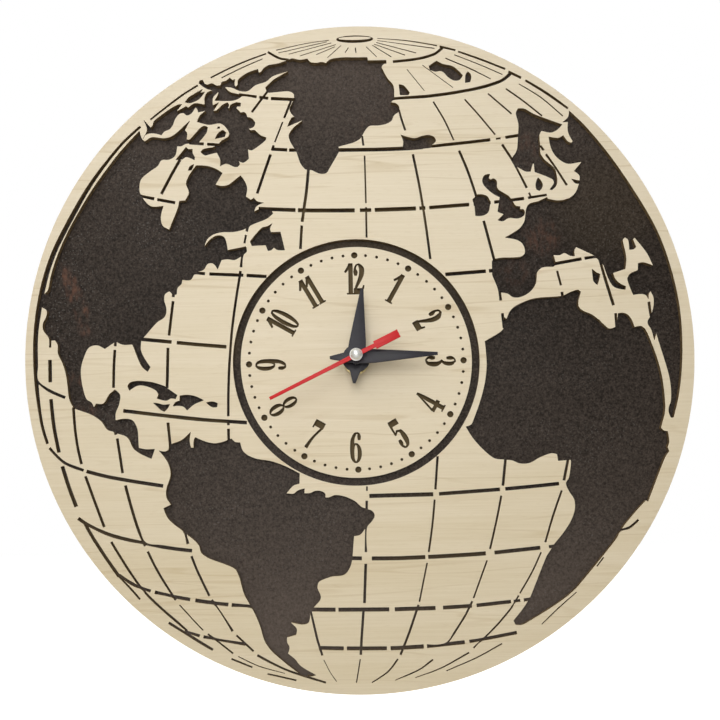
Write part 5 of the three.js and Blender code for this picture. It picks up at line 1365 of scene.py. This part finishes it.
@dataclass
class Movement:
    """The case behind the board, with its cover, setting knob, cell and contacts."""

    edge: float = 0.25 * MM
    crease: float = 50.0  # case edges sharper than this many degrees are eased
    level: float = 0.99  # a face of the cover is level when its normal's Y is above this
    cover_rim: float = 1.2 * MM
    cover_sink: float = 0.5 * MM
    mark_relief: float = 0.4 * MM
    stud_radius: float = 1.5 * MM
    stud_margin: float = 4.4 * MM
    stud_sides: int = 20
    sign_reach: float = 2.6 * MM  # half the length of a stroke
    sign_half: float = 0.55 * MM  # half its width
    sign_at: Point = (13.5 * MM, -3.2 * MM)
    quarter_turns: tuple[tuple[int, int], ...] = ((1, 0), (0, 1), (-1, 0), (0, -1))  # cosine and sine
    arrow_radius: float = 9.6 * MM
    arrow_half: float = 0.45 * MM  # half the width of its shaft
    arrow_from: float = math.radians(100)
    arrow_to: float = math.radians(250)
    arrow_steps: int = 24
    arrow_head: float = 3.0  # the head is this many times as wide as the shaft
    arrow_tip: float = 4.0  # the head's length, in steps
    knob_sides: int = 64
    knob_bend: float = 0.3 * MM
    wheel_from: float = 0.8  # shares of the knob's radius
    dish_floor: float = 0.62
    dish_edge: float = 0.74
    stem: float = 0.28
    dish_depth: float = 0.35  # share of the wheel's thickness
    ribs: int = 40
    rib_depth: float = 0.35 * MM
    rib_sides: int = 10
    rib_short: float = 0.5 * MM  # how much shorter a rib is than the wheel is thick
    cell_sides: int = 64
    terminal: float = 1.2 * MM
    mouth: float = 0.72  # shares of the cell's radius
    mouth_bend: float = 0.86
    dimple: float = 0.4
    dimple_edge: float = 0.46
    button: float = 0.38
    mouth_depth: float = 0.5 * MM
    shoulder: float = 0.8 * MM
    shoulder_bend: Point = (0.15 * MM, 0.2 * MM)  # inwards and along
    can_inset: float = 0.25 * MM
    can_play: float = 0.05 * MM
    dimple_depth: float = 0.15 * MM
    button_bend: float = 0.3 * MM

    def build(self) -> None:
        """Makes the pieces of the movement."""
        for node, name in (("movement_case", "case_shell"), ("movement_cover", "case_cover")):
            work = merged(node)
            if node == "movement_cover":
                self._sink(work)
            soften(work, self.edge, self.crease)
            place(mesh_piece(name, work, BLACK_PLASTIC), Body.CLOCK, Slot.BLACK_PLASTIC, node)
        place(self._cover_studs(), Body.CLOCK, Slot.BLACK_PLASTIC)
        place(self._signs(), Body.CLOCK, Slot.BLACK_PLASTIC)
        place(self._knob(), Body.KNOB, Slot.WHITE_PLASTIC, "setting_knob")
        place(self._knob_ribs(), Body.KNOB, Slot.WHITE_PLASTIC)
        place(self._cell(), Body.CLOCK, Slot.BATTERY, "battery")
        place(self._cell_ends(), Body.CLOCK, Slot.STEEL)
        dress_node("positive_contact", STEEL)
        dress_node("negative_contact", STEEL)

    def _sink(self, work: bmesh.types.BMesh) -> None:
        """Sinks the middle of the cover's outer face, so that a rim stands round it.

        Args:
            work: The cover's geometry.
        """
        _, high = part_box("movement_cover")
        level = [f for f in work.faces if f.normal.y > self.level]
        outer = [f for f in level if abs(f.calc_center_median().y - high.y) < WELD]
        bmesh.ops.inset_region(work, faces=outer, thickness=self.cover_rim, depth=0.0, use_even_offset=True)
        sunk = list({v for f in outer for v in f.verts})
        bmesh.ops.translate(work, verts=sunk, vec=Vector((0, -self.cover_sink, 0)))

    def _signs(self) -> bpy.types.Object:
        """Makes the raised signs on the cover: the cell's two poles and the way to turn the knob.

        Returns:
            The signs, in one piece.
        """
        _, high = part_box("movement_cover")
        floor = high.y - self.cover_sink
        centre, *_ = self._knob_sizes()
        reach, half = self.sign_reach, self.sign_half
        arm = [(-half, reach), (half, reach), (half, half)]
        plus = [(u * c + v * d, v * c - u * d) for c, d in self.quarter_turns for u, v in arm]
        minus = [(reach, half), (reach, -half), (-reach, -half), (-reach, half)]
        across, up = self.sign_at
        work = bmesh.new()
        for outline, x, z in ((plus, across, up), (minus, -across, up), (self._arrow(), centre.x, centre.z)):
            corners = [work.verts.new((x + u, floor, z + v)) for u, v in outline]
            raised = bmesh.ops.extrude_face_region(work, geom=[work.faces.new(corners)])["geom"]
            tops = [v for v in raised if isinstance(v, bmesh.types.BMVert)]
            bmesh.ops.translate(work, verts=tops, vec=Vector((0, self.mark_relief, 0)))
        bmesh.ops.recalc_face_normals(work, faces=work.faces)
        return mesh_piece("cover_signs", work, RUBBED_PLASTIC)

    def _arrow(self) -> list[Point]:
        """Draws a bent arrow round the knob.

        Returns:
            Its outline about the knob's middle.
        """
        head = self.arrow_head * self.arrow_half
        turn = (self.arrow_to - self.arrow_from) / self.arrow_steps
        angles = [self.arrow_from + k * turn for k in range(self.arrow_steps + 1)]
        ring = [(self.arrow_radius + self.arrow_half, a) for a in angles]
        ring += [
            (self.arrow_radius + head, self.arrow_to),
            (self.arrow_radius, self.arrow_to + self.arrow_tip * turn),
            (self.arrow_radius - head, self.arrow_to),
        ]
        ring += [(self.arrow_radius - self.arrow_half, a) for a in reversed(angles)]
        return [(radius * math.cos(angle), radius * math.sin(angle)) for radius, angle in ring]

    def _cover_studs(self) -> bpy.types.Object:
        """Makes the melted studs that hold the cover at its corners.

        Returns:
            The studs, in one piece.
        """
        lower_shade_and_tone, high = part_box("movement_cover")
        sizes = {
            "Width": high.x - lower_shade_and_tone.x - 2 * self.stud_margin,
            "Height": high.z - lower_shade_and_tone.z - 2 * self.stud_margin,
            "Stud Radius": self.stud_radius,
            "Stud Height": self.mark_relief,
            "Level": high.y - self.cover_sink + self.mark_relief,
            "Middle": (lower_shade_and_tone.z + high.z) / 2,
        }
        tree = PieceTree("cover_studs", sizes, RUBBED_PLASTIC)
        corners = tree.node(
            "GeometryNodeMeshGrid",
            {"Size X": tree.given("Width"), "Size Y": tree.given("Height"), "Vertices X": 2, "Vertices Y": 2},
        )
        stud = tree.node(
            "GeometryNodeMeshCone",
            {
                "Vertices": self.stud_sides,
                "Radius Top": tree.given("Stud Radius"),
                "Radius Bottom": tree.given("Stud Radius"),
                "Depth": tree.given("Stud Height"),
            },
        )
        studs = tree.set_on(tree.stand(corners, Y="Level", Z="Middle"), stud)
        return tree.apply(studs, "cover_studs")

    def _knob_sizes(self) -> tuple[Vector, float, float, float, float]:
        """Measures the knob.

        Returns:
            Its centre, its radius, and where its wheel's face, its wheel's back and its stem's end lie.
        """
        lower_shade_and_tone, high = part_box("setting_knob")
        centre = Vector(((lower_shade_and_tone.x + high.x) / 2, 0, (lower_shade_and_tone.z + high.z) / 2))
        radius = (high.x - lower_shade_and_tone.x) / 2
        places = [v.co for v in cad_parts["setting_knob"].data.vertices]
        wheel = [
            at.y for at in places if math.hypot(at.x - centre.x, at.z - centre.z) > self.wheel_from * radius
        ]
        return centre, radius, max(wheel), min(wheel), lower_shade_and_tone.y

    def _knob(self) -> bpy.types.Object:
        """Makes the knob's wheel and stem, with a dished face.

        Returns:
            The knob without its ribs.
        """
        centre, radius, face, back, stem_end = self._knob_sizes()
        rim, bend = radius - self.rib_depth, self.knob_bend
        dish = face - self.dish_depth * (face - back)
        stem = self.stem * radius
        profile = [
            (0.0, dish),
            (self.dish_floor * radius, dish),
            (self.dish_edge * radius, face),
            (rim - bend, face),
            (rim, face - bend),
            (rim, back),
            (stem, back),
            (stem, stem_end),
            (0.0, stem_end),
        ]
        return mesh_piece("knob_wheel", lathe(profile, self.knob_sides, centre), WHITE_PLASTIC)

    def _knob_ribs(self) -> bpy.types.Object:
        """Makes the grip ribs round the knob's rim.

        Returns:
            The ribs, in one piece.
        """
        centre, radius, face, back, _ = self._knob_sizes()
        sizes = {
            "Circle Radius": radius - self.rib_depth,
            "Rib Depth": self.rib_depth,
            "Rib Length": face - back - self.rib_short,
            "Level": (face + back) / 2,
            "Centre X": centre.x,
            "Centre Z": centre.z,
        }
        tree = PieceTree("knob_ribs", sizes, WHITE_PLASTIC)
        grips = tree.stand(tree.ring(self.ribs, "Circle Radius"), X="Centre X", Y="Level", Z="Centre Z")
        ribs = tree.set_on(grips, tree.cylinder(self.rib_sides, "Rib Depth", "Rib Length"))
        return tree.apply(ribs, "knob_ribs")

    def _turned_cell(self, name: str, profile: Profile, finish: Finish) -> bpy.types.Object:
        """Turns a piece of the cell and lays it along X in the bay.

        Args:
            name: The piece's name.
            profile: Its corners as radius and X.
            finish: Its finish.

        Returns:
            The piece.
        """
        lower_shade_and_tone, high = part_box("battery")
        middle = Vector((0, (lower_shade_and_tone.y + high.y) / 2, (lower_shade_and_tone.z + high.z) / 2))
        work = lathe(profile, self.cell_sides)
        work.transform(Matrix.Translation(middle) @ Matrix.Rotation(-math.pi / 2, 4, "Z"))
        return mesh_piece(name, work, finish)

    def _cell(self) -> bpy.types.Object:
        """Makes the cell's sleeve, shrunk over its ends.

        Returns:
            The sleeve.
        """
        lower_shade_and_tone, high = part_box("battery")
        radius = (high.z - lower_shade_and_tone.z) / 2
        start, end = lower_shade_and_tone.x, high.x - self.terminal
        inwards, along = self.shoulder_bend
        half = [
            (self.mouth * radius, self.mouth_depth),
            (self.mouth_bend * radius, 0.0),
            (radius - inwards, along),
            (radius, self.shoulder),
        ]
        profile = [(r, start + inset) for r, inset in half]
        profile += [(r, end - inset) for r, inset in reversed(half)]
        return self._turned_cell("cell_sleeve", profile + profile[:1], SLEEVE)

    def _cell_ends(self) -> bpy.types.Object:
        """Makes the cell's can with its raised terminal.

        Returns:
            The can.
        """
        lower_shade_and_tone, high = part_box("battery")
        radius = (high.z - lower_shade_and_tone.z) / 2
        start, end = lower_shade_and_tone.x + self.can_inset, high.x - self.terminal - self.can_inset
        can = self.mouth * radius - self.can_play
        button, bend = self.button * radius, self.button_bend
        profile = [
            (0.0, start + self.dimple_depth),
            (self.dimple * radius, start + self.dimple_depth),
            (self.dimple_edge * radius, start),
            (can, start),
            (can, end),
            (button + bend, end),
            (button, end + bend),
            (button, high.x - bend),
            (button - bend, high.x),
            (0.0, high.x),
        ]
        return self._turned_cell("cell_can", profile, STEEL)


@dataclass
class Stage:
    """The floor, the soft lights and the camera of the photograph."""

    floor_level: float = -0.32
    floor_side: float = 6.0
    floor_colour: Colour = tint(200, 200, 198)
    floor_roughness: float = 0.8
    ambient: Colour = (0.238, 0.233, 0.221, 1.0)
    lights: tuple[tuple[str, Size, float, float], ...] = (
        ("key_light", (-0.35, -0.6, 0.75), 0.9, 0.75),
        ("front_light", (-0.2, -0.66, 0.42), 0.7, 1.95),
        ("fill_light", (-0.03, -0.56, 0.05), 0.34, 1.45),
        ("back_light", (0.3, 1.2, 0.8), 0.9, 11.0),
    )  # name, place, side in metres and power in watts
    lens: float = 32.0
    sensor: float = 36.0
    nearest: float = 0.01
    eye: Size = (0.0005, -0.3093, -0.0620)
    pitch: float = math.radians(0.34)
    roll: float = math.radians(-1.1)
    shift_up: float = 0.19

    def build(self) -> None:
        """Makes the floor, the lights and the camera."""
        self._floor()
        self._world()
        for name, at, side, power in self.lights:
            self._light(name, at, side, power)
        self._camera()

    def _floor(self) -> None:
        """A plain pale floor below the clock, which the camera sees as plain white."""
        graph = Graph("pale_floor")
        glow = graph.mix(graph.node("ShaderNodeLightPath", output="Is Camera Ray"), BLACK, WHITE)
        graph.set(
            Base_Color=self.floor_colour,
            Roughness=self.floor_roughness,
            Emission_Color=glow,
            Emission_Strength=1.0,
        )
        half = self.floor_side / 2
        mesh = bpy.data.meshes.new("floor")
        corners = [(-half, -half), (half, -half), (half, half), (-half, half)]
        mesh.from_pydata([(x, y, self.floor_level) for x, y in corners], [], [(0, 1, 2, 3)])
        mesh.materials.append(graph.material)
        link("floor", mesh)

    def _world(self) -> None:
        """Even white light from all round, which the camera sees as plain white."""
        world = bpy.data.worlds.new("studio")
        world.use_nodes = True
        sky = Nodes(world.node_tree)
        colour = sky.mix(sky.node("ShaderNodeLightPath", output="Is Camera Ray"), self.ambient, WHITE)
        sky.feed(sky.tree.nodes["Background"].inputs["Color"], colour)
        bpy.context.scene.world = world
        bpy.context.scene.view_settings.view_transform = "Standard"

    def _light(self, name: str, at: Size, side: float, power: float) -> None:
        """A square soft light that looks at the clock.

        Args:
            name: The light's name.
            at: Where it stands.
            side: The length of its side.
            power: Its power in watts.
        """
        lamp = bpy.data.lights.new(name, "AREA")
        lamp.size = side
        lamp.energy = power
        light = link(name, lamp)
        light.location = at
        light.rotation_euler = (-Vector(at)).to_track_quat("-Z", "Y").to_euler()

    def _camera(self) -> None:
        """The photograph's camera, a little below the middle, with its lens shifted up to the clock."""
        lens = bpy.data.cameras.new("camera")
        lens.lens = self.lens
        lens.sensor_width = self.sensor
        lens.shift_y = self.shift_up
        lens.clip_start = self.nearest
        camera = link("camera", lens)
        level = Matrix.Rotation(math.pi / 2 + self.pitch, 4, "X")
        camera.matrix_world = Matrix.Translation(self.eye) @ level @ Matrix.Rotation(self.roll, 4, "Z")
        bpy.context.scene.camera = camera


def main() -> None:
    """Builds the stage and each sub-assembly in order."""
    logging.basicConfig(level=logging.INFO, format="%(name)s %(message)s")
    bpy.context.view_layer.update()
    Stage().build()
    GlobeMap().build()
    Hands().build()
    Fixing().build()
    Movement().build()


if __name__ == "__main__":
    main()
